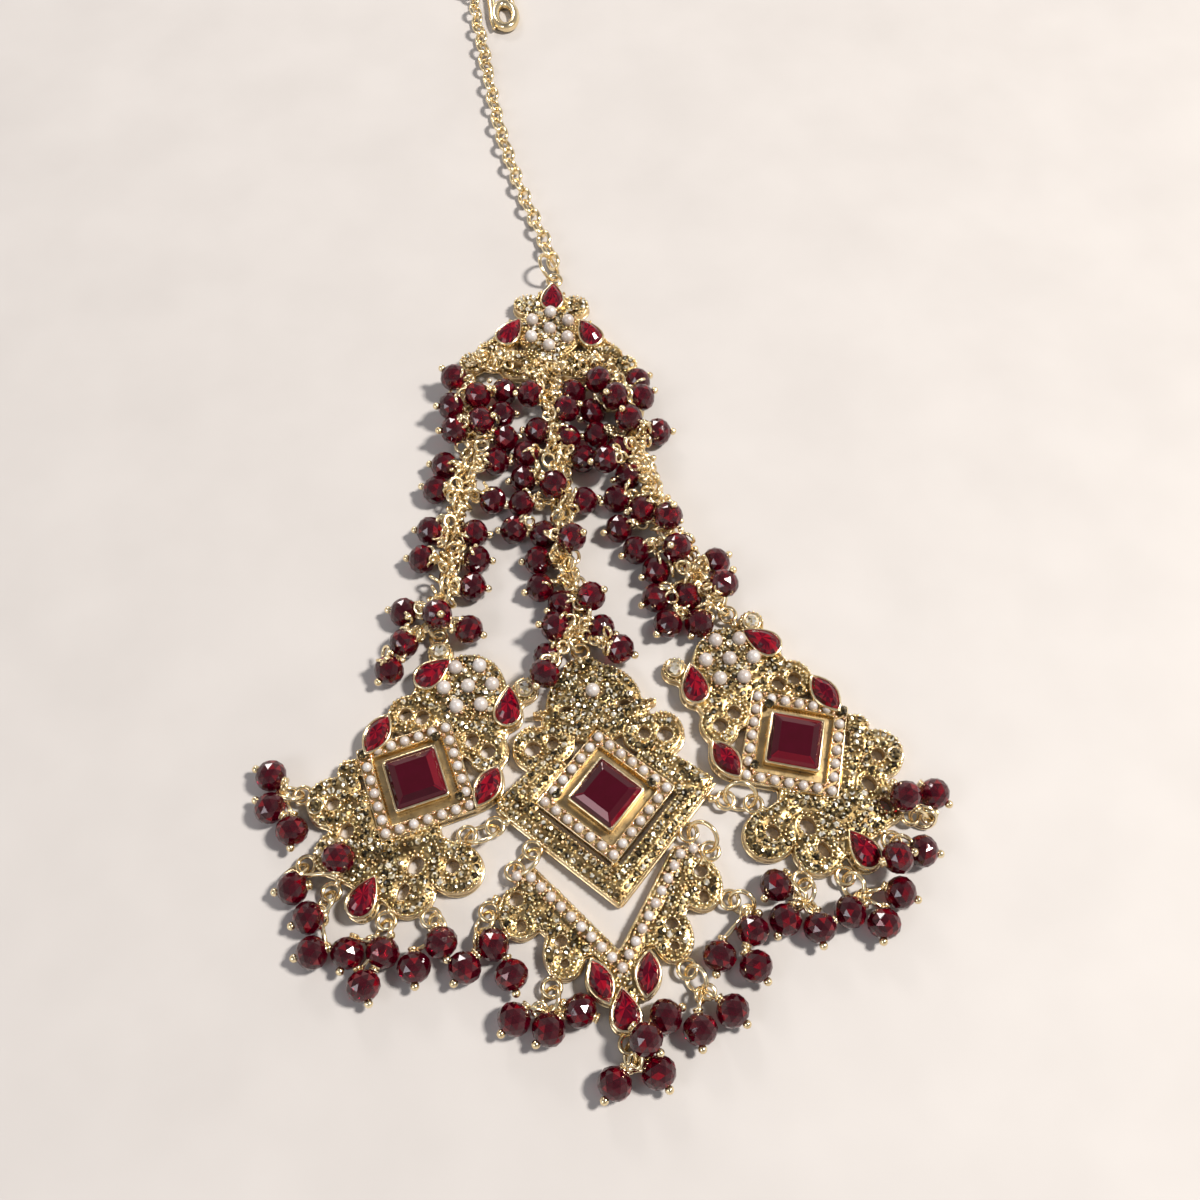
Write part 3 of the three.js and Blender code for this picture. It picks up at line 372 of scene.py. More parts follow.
# A strand's core is the way that its linked rings take, and a bead with a third number lies at
# least that high.
STRANDS = {
    "left": {
        "to": "left",
        "core": [(-13.2, 60), (-13.2, 54), (-14.5, 49), (-16.6, 43), (-17.6, 37), (-18.6, 32)],
        "beads": [
            (-14.9, 67.3, 3.6), (-15.4, 62), (-7.6, 64.4), (-11.5, 58.6), (-15.4, 58), (-17.5, 52.6),
            (-18.9, 48.8), (-9.3, 53.2), (-8, 56.2), (-10.8, 45.9), (-20.2, 41.9), (-21.6, 37.4),
            (-13.9, 40.4), (-13.9, 36.6), (-14.8, 32.2), (-24.6, 29.3), (-19.8, 27.3), (-15.8, 25.4, 2.4),
            (-24.8, 24.6), (-27, 20.9), (-8.2, 60.3), (-11.8, 63),
        ],
    },
    "middle": {
        "to": "centre",
        "core": [(-0.5, 60), (-0.8, 54), (-0.8, 48), (-0.8, 41), (-1.6, 35), (-1.2, 31), (0, 27.5)],
        "beads": [
            (-3.7, 63), (-3.7, 56.2), (3, 63.5), (2.5, 55.2), (-6, 49.3), (-1.9, 46.2), (-6.6, 45.7),
            (2.3, 44), (-7.8, 40.3), (-4.8, 38.4), (-0.2, 37.1), (-5.1, 35), (-5.3, 32), (-3.3, 26.3),
            (-4, 24.1), (2.4, 23.2), (4.2, 20.2, 2.6), (-5.2, 20.6), (-6.0, 17.4, 4), (-5.7, 53),
            (1.5, 59.4), (1.4, 27.6), (3.4, 51.4),
        ],
    },
    "right": {
        "to": "right",
        "core": [(10.8, 58), (11, 53), (12, 48), (12.6, 43), (13.5, 38), (15, 33.5), (16.8, 29)],
        "beads": [
            (6.7, 64.2, 3.6), (12.9, 64.3), (12.4, 60.5), (5.4, 58.1), (5.1, 55.6), (14.7, 54.8),
            (7.5, 53), (8.7, 47.5), (7.3, 44), (7.3, 38.5), (13.8, 38.8), (9.3, 33.9), (10.3, 31.4),
            (19.7, 31.9), (11, 28.5), (14.3, 26.6), (11.7, 23.7), (15.4, 23.2), (19.9, 27.4),
            (6.1, 49.8, 3.5), (9.4, 60.3, 4.5), (10.4, 56.2), (9.9, 41.2), (14.2, 33.6),
        ],
    },
}
# Each cluster's beads: where the bead lies, and the way in degrees from it to the ball on its pin.
DROPS = {
    "drops_left_1": [(-42.9, 7.8, 2, 150), (-43.0, 3.4, 2, 145), (-40.3, 0.2, 2, 265)],
    "drops_left_2": [(-34.0, -4.9, 4.7, 80), (-40.0, -7.8, 2, 185)],
    "drops_left_3": [(-38.4, -11.4, 2, 200), (-37.3, -14.8, 2, 190)],
    "drops_left_4": [(-34.0, -16.2, 2, 245), (-31.9, -19.4, 2, 285), (-29.6, -16.9, 2, 60)],
    "drops_left_5": [(-26.0, -18.3, 2, 270), (-22.2, -16.5, 2, 285)],
    "drops_right_1": [(19.6, -14.2, 2, 220), (19.8, -18.6, 2, 235), (24.0, -19.9, 2, 270)],
    "drops_right_2": [(28.0, -18.6, 2, 200), (31.9, -20.4, 2, 255), (34.8, -17.0, 2, 330)],
    "drops_right_3": [(34.9, -13.1, 4.2, 10), (38.8, -12.2, 2, 343)],
    "drops_right_4": [(37.6, -5.6, 4.4, 120), (41.9, -5.2, 2.4, 315)],
    "drops_chevron_1": [(-19.6, -18.9, 2, 229), (-16.3, -17.5, 2, 210), (-14.2, -20.8, 2, 280)],
    "drops_chevron_2": [(-14.2, -26.1, 2, 221), (-10.3, -27.7, 2, 221), (-6.4, -26.1, 2, 150)],
    "drops_chevron_3": [
        (-3.3, -34.6, 2, 230), (1.9, -33.6, 2, 295), (1.3, -30.6, 3.6, 310), (3.6, -28.3, 2, 20),
    ],
    "drops_chevron_4": [(7.3, -29.8, 2, 268), (11.7, -28.3, 2, 310)],
    "drops_chevron_5": [(11.2, -21.8, 2, 250), (15.9, -19.6, 2, 60), (15.4, -23.2, 2, 300)],
}
CHAIN_LOOPS = [(2.6, 90.4), (-5.3, 157.0)]
CHAIN_ROUTE = [
    CHAIN_LOOPS[0], (1.4, 96), (0.2, 101), (-0.9, 106), (-1.8, 110.5), (-2.7, 116), (-3.4, 121),
    (-3.9, 127), (-4.3, 133), (-4.6, 139), (-4.9, 145), (-5.3, 150), CHAIN_LOOPS[1],
]
# The hook: its loop, the long eye, the pointed prong, the bend, and where the bar ends.
HOOK_LOOP = (-5.0, 160.6)
EYE = {"x": 0, "y": 150.75, "rx": 1.85, "ry": 3.2}
PRONG = [(-2.3, 147.4), (-2.35, 149.5), (-2.2, 160)]
BEND = {"x": -0.4, "y": 160, "radius": 1.8, "steps": 8}
SHANK_END = (1.2, 153.6)


# ---- Shapes: points and triangles -------------------------------------------------------------------
def grid_triangles(rows, columns, wrap=False):
    """Triangles between closed rows of points, and from the last row to the first if they wrap."""
    r = np.arange(rows if wrap else rows - 1)[:, None]
    c = np.arange(columns)[None, :]
    a = r * columns + c
    b = r * columns + (c + 1) % columns
    d = (r + 1) % rows * columns + c
    e = (r + 1) % rows * columns + (c + 1) % columns
    return np.concatenate([np.stack([a, b, e], -1), np.stack([a, e, d], -1)]).reshape(-1, 3)


def fan(centre, ring, flip=False):
    after = np.roll(ring, -1)
    hub = np.full(len(ring), centre)
    return np.stack([hub, after, ring] if flip else [hub, ring, after], 1)


def revolve(profile, sides, stagger=False):
    """A shape turned about Z. Its profile of (radius, height) goes up, and starts and stops on the axis.
    Staggered rings make triangular facets."""
    rings = profile[1:-1]
    points, triangles = [], []
    for k, (radius, height) in enumerate(rings):
        shift = math.pi / sides * (k % 2) if stagger else 0
        angle = 2 * math.pi * np.arange(sides) / sides + shift
        points.append(np.stack([radius * np.cos(angle), radius * np.sin(angle), np.full(sides, height)], 1))
    i = np.arange(sides)
    j = (i + 1) % sides
    for k in range(len(rings) - 1):
        low, high = k * sides, (k + 1) * sides
        if stagger and k % 2:
            pair = (low + i, high + j, high + i), (low + i, low + j, high + j)
        else:
            pair = (low + i, low + j, high + i), (low + j, high + j, high + i)
        triangles += [np.stack(corners, 1) for corners in pair]
    count = len(rings) * sides
    points += [[(0, 0, profile[0][1])], [(0, 0, profile[-1][1])]]
    triangles += [fan(count, i, flip=True), fan(count + 1, (len(rings) - 1) * sides + i)]
    return np.vstack(points), np.vstack(triangles)


def ball(radius, sides=12, rings=7):
    angle = np.linspace(-math.pi / 2, math.pi / 2, rings + 2)
    return revolve([(radius * math.cos(a), radius * math.sin(a)) for a in angle], sides)


def torus(radius, wire, around=24, section=8, oval=1.0):
    """A ring in the XY plane, longer along X by oval."""
    u = 2 * math.pi * np.arange(around)[:, None] / around
    v = 2 * math.pi * np.arange(section)[None, :] / section
    out = radius + wire * np.cos(v)
    points = np.stack([
        out * np.cos(u) + (oval - 1) * radius * np.cos(u), out * np.sin(u), wire * np.sin(v) + 0 * u,
    ], -1)
    return points.reshape(-1, 3), grid_triangles(around, section, True)[:, ::-1]


def sweep(path, radius, section=8, closed=False):
    """A round wire along a path, with blunt ends where the path is open."""
    path = np.asarray(path, float)
    radii = np.broadcast_to(radius, len(path))
    if closed:
        along = np.roll(path, -1, 0) - np.roll(path, 1, 0)
    else:
        along = np.gradient(path, axis=0)
    along /= np.linalg.norm(along, axis=1, keepdims=True)
    steep = np.abs(along[:, 2]).max() > 0.9
    side = np.cross(along, (1.0, 0, 0) if steep else (0, 0, 1.0))
    side /= np.linalg.norm(side, axis=1, keepdims=True)
    over = np.cross(side, along)
    v = 2 * math.pi * np.arange(section) / section
    ring = side[:, None] * np.cos(v)[None, :, None] + over[:, None] * np.sin(v)[None, :, None]
    points = (path[:, None] + ring * radii[:, None, None]).reshape(-1, 3)
    triangles = [grid_triangles(len(path), section, closed)]
    if not closed:
        last = len(path) * section
        tips = [path[0] - along[0] * radii[0] * 0.5, path[-1] + along[-1] * radii[-1] * 0.5]
        points = np.vstack([points, tips])
        i = np.arange(section)
        triangles += [fan(last, i, flip=True), fan(last + 1, last - section + i)]
    return points, np.vstack(triangles)[:, ::-1]


def loft(rings, heights):
    """A closed shape from outlines with the same number of points, each at its height."""
    count = len(rings[0])
    levels = [np.column_stack([ring, np.full(count, height)]) for ring, height in zip(rings, heights)]
    middle = [(*rings[0].mean(0), heights[0]), (*rings[-1].mean(0), heights[-1])]
    i = np.arange(count)
    hub = len(rings) * count
    triangles = [
        grid_triangles(len(rings), count), fan(hub, i, flip=True), fan(hub + 1, hub - count + i),
    ]
    return np.vstack(levels + [middle]), np.vstack(triangles)


def wall(inner, outer, low, high, soft=0.12):
    """A thin standing wall between two outlines, with a rounded top."""
    count = len(inner)
    middle = (inner + outer) / 2
    outer_top, inner_top = (edge * 0.35 + middle * 0.65 for edge in (outer, inner))
    rows = [
        (outer, low), (outer, high - soft), (outer_top, high),
        (inner_top, high), (inner, high - soft), (inner, low),
    ]
    levels = [np.column_stack([ring, np.full(count, height)]) for ring, height in rows]
    return np.vstack(levels), grid_triangles(len(rows), count, True)


def at(x, y, z, spin=0.0, scale=1.0):
    """Moves a shape to a point, turned about Z."""
    place = np.eye(4)
    c, s = math.cos(spin) * scale, math.sin(spin) * scale
    place[:3, :3] = [[c, -s, 0], [s, c, 0], [0, 0, scale]]
    place[:3, 3] = (x, y, z)
    return place


def facing(point, axis, spin=0.0, scale=1.0):
    """Moves a shape to a point, with its own Z along an axis."""
    z = np.asarray(axis, float)
    z = z / np.linalg.norm(z)
    side = np.cross(z, (0, 1.0, 0) if abs(z[2]) > 0.9 else (0, 0, 1.0))
    side /= np.linalg.norm(side)
    other = np.cross(z, side)
    c, s = math.cos(spin), math.sin(spin)
    place = np.eye(4)
    place[:3, :3] = np.column_stack([side * c + other * s, other * c - side * s, z]) * scale
    place[:3, 3] = point
    return place


def add_object(name, data):
    thing = bpy.data.objects.new(name, data)
    bpy.context.scene.collection.objects.link(thing)
    return thing


class Pile:
    """Many small shapes gathered into one mesh, with a tone on each face that its material reads."""

    def __init__(self):
        self.points, self.triangles, self.tones = [], [], []
        self.count = 0

    def add(self, shape, place=None, tone=0.5):
        points, triangles = shape
        if place is not None:
            points = points @ place[:3, :3].T + place[:3, 3]
        self.points.append(points)
        self.triangles.append(triangles + self.count)
        self.tones.append(np.broadcast_to(tone, len(triangles)))
        self.count += len(points)

    def piece(self, name, finish, slot, nodes=(), smooth=True, sharp=None, place=None):
        """Makes the mesh, which stands for CAD nodes or is a detail on them."""
        points = np.vstack(self.points)
        if place is not None:
            points = points @ place[:3, :3].T + place[:3, 3]
        mesh = bpy.data.meshes.new(name)
        mesh.from_pydata((points * MM).tolist(), [], np.vstack(self.triangles).tolist())
        tone = mesh.attributes.new("tone", "FLOAT", "FACE")
        tone.data.foreach_set("value", np.concatenate(self.tones).astype(np.float32))
        if smooth:
            mesh.shade_smooth()
            if sharp:
                mesh.set_sharp_from_angle(angle=math.radians(sharp))
        else:
            mesh.shade_flat()
        mesh.materials.append(finish)
        mesh.validate()
        piece = add_object(name, mesh)
        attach(piece, "root")
        if nodes:
            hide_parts(*nodes)
        return piece


# ---- Materials --------------------------------------------------------------------------------------
def new_finish(name, values):
    """A material with these values on its shader's own sockets."""
    material = bpy.data.materials.new(name)
    material.use_nodes = True
    tree = material.node_tree
    shader = tree.nodes["Principled BSDF"]
    for socket, value in values.items():
        shader.inputs[socket].default_value = value
    return material, tree, shader


def add_node(tree, kind, inputs=(), **settings):
    """A node with its settings and inputs: an input is a value, or another node's output."""
    node = tree.nodes.new(kind)
    for key, value in settings.items():
        setattr(node, key, value)
    for key, value in dict(inputs).items():
        if isinstance(value, bpy.types.NodeSocket):
            tree.links.new(value, node.inputs[key])
        else:
            node.inputs[key].default_value = value
    return node


def noise(tree, scale, detail=3.0):
    """Noise in the object's own space, in metres."""
    space = add_node(tree, "ShaderNodeTexCoord")
    node = add_node(tree, "ShaderNodeTexNoise", {
        "Vector": space.outputs["Object"], "Scale": scale, "Detail": detail,
    })
    return node.outputs["Fac"]


def tone_of(tree):
    return add_node(tree, "ShaderNodeAttribute", attribute_name="tone").outputs["Fac"]


def ramp(tree, value, *stops):
    """A colour for each level of a value."""
    node = add_node(tree, "ShaderNodeValToRGB", {"Fac": value})
    elements = node.color_ramp.elements
    while len(elements) < len(stops):
        elements.new(0.5)
    for element, (level, colour) in zip(elements, stops):
        element.position = level
        element.color = (*colour, 1)
    return node.outputs["Color"]


def between(tree, value, low, high):
    node = add_node(tree, "ShaderNodeMapRange", {"Value": value, "To Min": low, "To Max": high})
    return node.outputs["Result"]


def mixed(tree, share, first, second):
    node = add_node(tree, "ShaderNodeMix", data_type="RGBA")
    for socket, value in ((node.inputs[0], share), (node.inputs[6], first), (node.inputs[7], second)):
        if isinstance(value, bpy.types.NodeSocket):
            tree.links.new(value, socket)
        else:
            socket.default_value = value
    return node.outputs[2]


def bumped(tree, shader, height, strength, distance):
    node = add_node(tree, "ShaderNodeBump", {"Height": height, "Strength": strength, "Distance": distance})
    tree.links.new(node.outputs["Normal"], shader.inputs["Normal"])


def gold_finish(name, dark, light, rosy, roughness):
    """Plated metal, whose colour drifts over millimetres, with fine scratches and pits. A face is the rosier
    the higher its tone."""
    material, tree, shader = new_finish(name, {"Metallic": 1.0})
    drift = ramp(tree, noise(tree, 420), (0.32, dark), (0.68, light))
    blush = between(tree, tone_of(tree), -0.05, 0.75)
    tree.links.new(mixed(tree, blush, drift, (*rosy, 1)), shader.inputs["Base Color"])
    rough = between(tree, noise(tree, 1500, 4.0), roughness * 0.6, roughness * 1.5)
    tree.links.new(rough, shader.inputs["Roughness"])
    bumped(tree, shader, noise(tree, 2600, 4.0), 0.25, 0.00006)
    return material


def crystal_finish():
    """Champagne crystal chips over foil, each facet toned from dark olive to near white: painted shade and
    painted glints over the chips' own colour.
    """
    material, tree, shader = new_finish("champagne_crystal", {
        "Metallic": 0.85, "Coat Weight": 0.6, "Coat Roughness": 0.04,
    })
    colour = ramp(
        tree, tone_of(tree), (0.0, (0.02, 0.014, 0.005)), (0.45, (0.17, 0.115, 0.04)),
        (0.72, (0.80, 0.63, 0.33)), (1.0, (1.0, 0.95, 0.82)),
    )
    tree.links.new(colour, shader.inputs["Base Color"])
    tree.links.new(between(tree, noise(tree, 1800), 0.08, 0.22), shader.inputs["Roughness"])
    return material


def ruby_finish():
    """Deep red foiled glass: facets differ in depth of colour, with a faint cloud inside."""
    material, tree, shader = new_finish("foiled_ruby", {"Roughness": 0.08, "IOR": 1.45})
    facets = ramp(
        tree, tone_of(tree), (0.0, (0.012, 0.0, 0.002)), (0.5, (0.055, 0.0, 0.005)),
        (1.0, (0.26, 0.002, 0.010)),
    )
    cloud = between(tree, noise(tree, 700), -0.3, 0.5)
    tree.links.new(mixed(tree, cloud, facets, (0.05, 0.0, 0.008, 1)), shader.inputs["Base Color"])
    bumped(tree, shader, noise(tree, 1100), 0.12, 0.00008)
    return material


def garnet_finish():
    """Wine-red glass that lets much of the light through; most facets are dark and a few bright red, painted
    glints over facets of slightly different depth.
    """
    material, tree, shader = new_finish("garnet_glass", {
        "Roughness": 0.05, "IOR": 1.52, "Transmission Weight": 0.7, "Coat Weight": 0.1,
    })
    facets = ramp(
        tree, tone_of(tree), (0.0, (0.035, 0.0, 0.004)), (0.6, (0.11, 0.0, 0.009)),
        (1.0, (0.50, 0.004, 0.016)),
    )
    tree.links.new(facets, shader.inputs["Base Color"])
    bumped(tree, shader, noise(tree, 900), 0.1, 0.0001)
    return material


def pearl_finish():
    """Imitation pearl: cream, from rosier to cooler ones, with a soft broad sheen."""
    material, tree, shader = new_finish("cream_pearl", {
        "Roughness": 0.42, "IOR": 1.9, "Coat Weight": 1.0, "Coat Roughness": 0.28, "Sheen Weight": 0.2,
    })
    cast = ramp(
        tree, tone_of(tree), (0.0, (0.31, 0.26, 0.23)), (0.5, (0.36, 0.32, 0.29)),
        (1.0, (0.40, 0.38, 0.37)),
    )
    bloom = between(tree, noise(tree, 1600), 0.0, 0.35)
    tree.links.new(mixed(tree, bloom, cast, (0.38, 0.30, 0.27, 1)), shader.inputs["Base Color"])
    return material


def floor_finish():
    """A matt pale sheet whose tone drifts a little."""
    material, tree, shader = new_finish("pale_floor", {"Roughness": 0.65})
    colour = ramp(tree, noise(tree, 60), (0.3, (0.385, 0.365, 0.355)), (0.7, (0.41, 0.39, 0.38)))
    tree.links.new(colour, shader.inputs["Base Color"])
    return material


GOLD = gold_finish("plated_gold", (0.70, 0.54, 0.27), (1.0, 0.90, 0.62), (0.90, 0.68, 0.42), 0.17)
# The cast sheet's dark colour under the paving is painted shade between the stones; its sides and back take a
# lighter, rosier tone.
SHADED_SHEET = gold_finish("cast_gold_painted_shade", (0.12, 0.07, 0.025), (0.50, 0.36, 0.16), (1.0, 0.74, 0.40), 0.3)
GRAINS = gold_finish("gold_grains", (0.52, 0.38, 0.14), (1.0, 0.90, 0.55), (0.95, 0.55, 0.38), 0.13)
CRYSTALS = crystal_finish()
RUBY = ruby_finish()
GARNET = garnet_finish()
PEARLS = pearl_finish()


# ---- Plates -----------------------------------------------------------------------------------------
def distance(outline, points):
    """Signed distance from points to a closed outline, negative inside it."""
    x, y = points[:, 0], points[:, 1]
    nearest = np.full(len(points), 1e9)
    inside = np.zeros(len(points), bool)
    for (ax, ay), (bx, by) in zip(outline, np.roll(outline, -1, 0)):
        ex, ey = bx - ax, by - ay
        t = np.clip(((x - ax) * ex + (y - ay) * ey) / (ex * ex + ey * ey), 0, 1)
        nearest = np.minimum(nearest, (x - ax - t * ex) ** 2 + (y - ay - t * ey) ** 2)
        if ay != by:
            inside ^= ((ay > y) != (by > y)) & (x < ex * (y - ay) / ey + ax)
    return np.sqrt(nearest) * np.where(inside, -1, 1)


def nearest_of(outlines, points):
    far = np.full(len(points), 1e9)
    for outline in outlines:
        far = np.minimum(far, distance(outline, points))
    return far


def grid_spots(xs, ys):
    """The points of a grid, as rows of x and y."""
    return np.stack(np.meshgrid(xs, ys, indexing="ij"), -1).reshape(-1, 2)


def grid_halves(columns, rows):
    """Two triangles for each cell of a grid."""
    corner = np.arange(columns * rows).reshape(columns, rows)
    a, b = corner[:-1, :-1].ravel(), corner[1:, :-1].ravel()
    c, d = corner[1:, 1:].ravel(), corner[:-1, 1:].ravel()
    return np.concatenate([np.stack([a, b, c], 1), np.stack([a, c, d], 1)])


def closed_loops(after):
    """Loops of points, from a table of which point comes after which."""
    loops = []
    while after:
        start = next(iter(after))
        loop = [start]
        step = after.pop(start)
        while step != start:
            loop.append(step)
            step = after.pop(step)
        loops.append(loop)
    return loops


def sliced(level, xs, ys):
    """The part of a grid where a level is negative: points, triangles, and the edge as closed loops."""
    spots = grid_spots(xs, ys)
    halves = grid_halves(len(xs), len(ys))
    below = level[halves] < 0
    triangles = halves[below.all(1)].tolist()
    extra, cuts, after = [], {}, {}

    def cut(p, q):
        key = (min(p, q), max(p, q))
        if key not in cuts:
            cuts[key] = len(spots) + len(extra)
            extra.append(spots[p] + (spots[q] - spots[p]) * level[p] / (level[p] - level[q]))
        return cuts[key]

    for corners in halves[below.any(1) & ~below.all(1)].tolist():
        inside = [level[p] < 0 for p in corners]
        single = sum(inside) == 1
        k = inside.index(single)
        p, q, r = (corners[(k + n) % 3] for n in range(3))
        pq, pr = cut(p, q), cut(p, r)
        if single:
            triangles.append((p, pq, pr))
            after[pq] = pr
        else:
            triangles += [(q, r, pr), (q, pr, pq)]
            after[pr] = pq
    points = np.vstack([spots, extra]) if extra else spots
    used, triangles = np.unique(np.array(triangles, int).reshape(-1, 3), return_inverse=True)
    renamed = {old: new for new, old in enumerate(used.tolist())}
    loops = [np.array([renamed[p] for p in loop]) for loop in closed_loops(after)]
    return points[used], triangles.reshape(-1, 3), loops


def eased(loop, rounds=2):
    for _ in range(rounds):
        loop = (np.roll(loop, 1, 0) + 2 * loop + np.roll(loop, -1, 0)) / 4
    return loop


def run_along(path):
    """The length of a path up to each of its points."""
    return np.concatenate([[0], np.cumsum(np.linalg.norm(np.diff(path, axis=0), axis=1))])


def spaced(loop, pitch):
    """Points along a closed loop, about a pitch apart."""
    closed = np.vstack([loop, loop[:1]])
    run = run_along(closed)
    count = max(int(run[-1] / pitch), 3)
    wanted = run[-1] * np.arange(count) / count
    return np.stack([np.interp(wanted, run, closed[:, k]) for k in (0, 1)], 1)


def arm_pearls():
    """The pearls down both of the chevron's arms, and one at the end of each."""
    s, c = math.sin(ARM["half"]), math.cos(ARM["half"])
    pearls = [(0, 0, PEARL)]
    for k in range(1, ARM["pearls"] + 1):
        run = ARM["pitch"] * k
        pearls += [(side * run * s, run * c, PEARL) for side in (1, -1)]
    x, y = ARM["end_pearl"]
    return pearls + [(side * x, y, PEARL) for side in (1, -1)]


def place_of(plate):
    row = PLATES[plate]
    return at(row["x"], row["y"], 0, math.radians(row["turn"]))


class Plate:
    """One cast plate: its outline as a level on a grid, and the places of all that is set in it."""

    def __init__(self, name):
        row = PLATES[name]
        self.name = name
        self.flip = row["flip"]
        self.design = row["design"]
        self.place = place_of(name)
        self.stones = [self.turned(stone) for stone in self.design["stones"]]
        lobes = [self.turned(lobe) for lobe in self.design["lobes"]]
        holes = [self.turned(hole) for hole in self.design["holes"]]
        mirror = np.array([self.flip, 1])
        self.metal = [placed(ellipse(lobe["rx"], lobe["ry"]), lobe) for lobe in lobes]
        self.metal += [strip(path, half) * mirror for half, *path in self.design["bands"]]
        self.metal += self.design.get("outlines", [])
        self.settings = [stone_outline(stone, BEZEL_OUT) for stone in self.stones]
        self.holes = [placed(ellipse(hole["rx"], hole["ry"], 24), hole) for hole in holes]
        self.frame = [diamond(TRAY)] if self.design["square"] else []
        self.lay_grid()
        self.corners = []
        self.crystals = [(x * self.flip, *rest) for x, *rest in self.design.get("crystals", [])]
        self.pearls = self.pearl_places()

    def lay_grid(self):
        """A grid over the whole plate, with the plate's level at each of its points."""
        every = np.vstack(self.metal + self.settings + self.frame)
        low, high = every.min(0) - 2 * GRID, every.max(0) + 2 * GRID
        self.xs, self.ys = (np.arange(low[k], high[k] + GRID, GRID) for k in (0, 1))
        self.level = self.level_at(grid_spots(self.xs, self.ys))

    def turned(self, row):
        """A row of a table, with the inner side on this plate's own side."""
        return {**row, "x": row["x"] * self.flip, "turn": row.get("turn", 0) * self.flip}

    def level_at(self, points):
        metal = nearest_of(self.metal, points)
        metal = np.maximum(metal, -nearest_of(self.holes, points))
        return np.minimum(metal, nearest_of(self.settings + self.frame, points))

    def pearl_places(self):
        """Rows of x, y and radius."""
        pearls = self.frame_pearls() if self.frame else []
        if "flower" in self.design:
            x, y = self.design["flower"]
            pearls.append((x, y, BIG_PEARL))
            for k in range(PETALS):
                angle = math.radians(30 + 360 * k / PETALS)
                pearls.append((x + FLOWER * math.cos(angle), y + FLOWER * math.sin(angle), BIG_PEARL))
        if "lone_pearl" in self.design:
            pearls.append((*self.design["lone_pearl"], BIG_PEARL))
        if self.name == "chevron":
            pearls += arm_pearls()
        return np.array(pearls)

    def frame_pearls(self):
        """The pearls in a square frame, where a crystal may stand in for one at a corner."""
        pearls = []
        corners = diamond(PEARL_LINE)
        for start, end in zip(corners, np.roll(corners, -1, 0)):
            pearls += [(*(start + (end - start) * k / SIDE_PEARLS), PEARL) for k in range(SIDE_PEARLS)]
        self.corners = [(x * self.flip, y) for x, y in self.design["channel_crystals"]]
        if "dark_corner" in self.design:
            self.corners.append(pearls.pop(2 * SIDE_PEARLS if self.flip > 0 else 0)[:2])
        return pearls

    def relief(self, points):
        """The paved surface, which swells from its edge to its middle."""
        depth = np.clip(-self.level_at(points) / SWELL, 0, 1)
        return EDGE_HEIGHT + RELIEF * depth * (2 - depth)

    def heights(self, points):
        """The plate's upper surface."""
        height = self.relief(points)
        if self.frame:
            height[distance(diamond(TRAY), points) < 0] = TRAY_BED
            height[distance(diamond(CHANNEL), points) < 0] = CHANNEL_BED
        for outline in self.settings:
            height[distance(outline, points) < -POCKET_INSET] = POCKET_BED
        return height

    def body(self):
        """The cast sheet (flat back, chamfered lower edge, stepped top), and a tone for each face."""
        flat, triangles, loops = sliced(self.level, self.xs, self.ys)
        edge = np.concatenate(loops)
        after = np.concatenate([np.roll(loop, -1) for loop in loops])
        before = np.concatenate([np.roll(loop, 1) for loop in loops])
        along = flat[after] - flat[before]
        length = np.maximum(np.linalg.norm(along, axis=1, keepdims=True), 1e-6)
        inward = np.stack([-along[:, 1], along[:, 0]], 1) / length
        back = flat.copy()
        back[edge] += inward * CHAMFER * 0.5
        count, rim = len(flat), len(edge)
        points = np.vstack([
            np.column_stack([flat, self.heights(flat)]),
            np.column_stack([flat[edge], np.full(rim, CHAMFER)]),
            np.column_stack([back, np.zeros(count)]),
        ])
        order = np.full(count, -1)
        order[edge] = np.arange(rim)
        lower, lower_after = count + np.arange(rim), count + order[after]
        under, under_after = count + rim + edge, count + rim + after
        sides = [
            np.stack([edge, lower, lower_after], 1), np.stack([edge, lower_after, after], 1),
            np.stack([lower, under, under_after], 1), np.stack([lower, under_after, lower_after], 1),
        ]
        faces = np.vstack([triangles, triangles[:, ::-1] + count + rim, *sides])
        tones = np.full(len(faces), PLAIN_TONE)
        tones[:len(triangles)] = self.upper_tones(flat[triangles].mean(1))
        return (points, faces), tones

    def upper_tones(self, middles):
        """The tone of each upper face: a square frame's differs from the paving's, whose dark tone is painted
        shade between the stones.
        """
        tones = np.full(len(middles), PAVED_SHADE_TONE)
        if self.frame:
            tones[distance(diamond(TRAY), middles) < 0] = FRAME_TONE
        return tones

    def loops_at(self, depth):
        points, _, loops = sliced(self.level + depth, self.xs, self.ys)
        return [points[loop] for loop in loops if len(loop) > 8]

    def free(self, points, margin):
        """Which points lie in the paving, clear of settings, frames and pearls."""
        clear = nearest_of(self.settings, points) > margin if self.settings else np.ones(len(points), bool)
        if self.frame:
            clear &= distance(diamond(TRAY), points) > margin
        for x, y, radius, *_ in [*self.pearls, *self.crystals]:
            clear &= np.hypot(points[:, 0] - x, points[:, 1] - y) > radius + margin
        return clear

    def paving_places(self):
        """Rows of stones that follow the outline, one inside another."""
        kept = np.empty((0, 2))
        for depth in np.arange(*ROWS, ROW_PITCH):
            for loop in self.loops_at(depth):
                for spot in spaced(loop, PAVING_PITCH):
                    if len(kept) and np.hypot(*(kept - spot).T).min() < NEAREST:
                        continue
                    if self.free(spot[None], CRYSTAL * 0.7)[0]:
                        kept = np.vstack([kept, spot])
        return kept

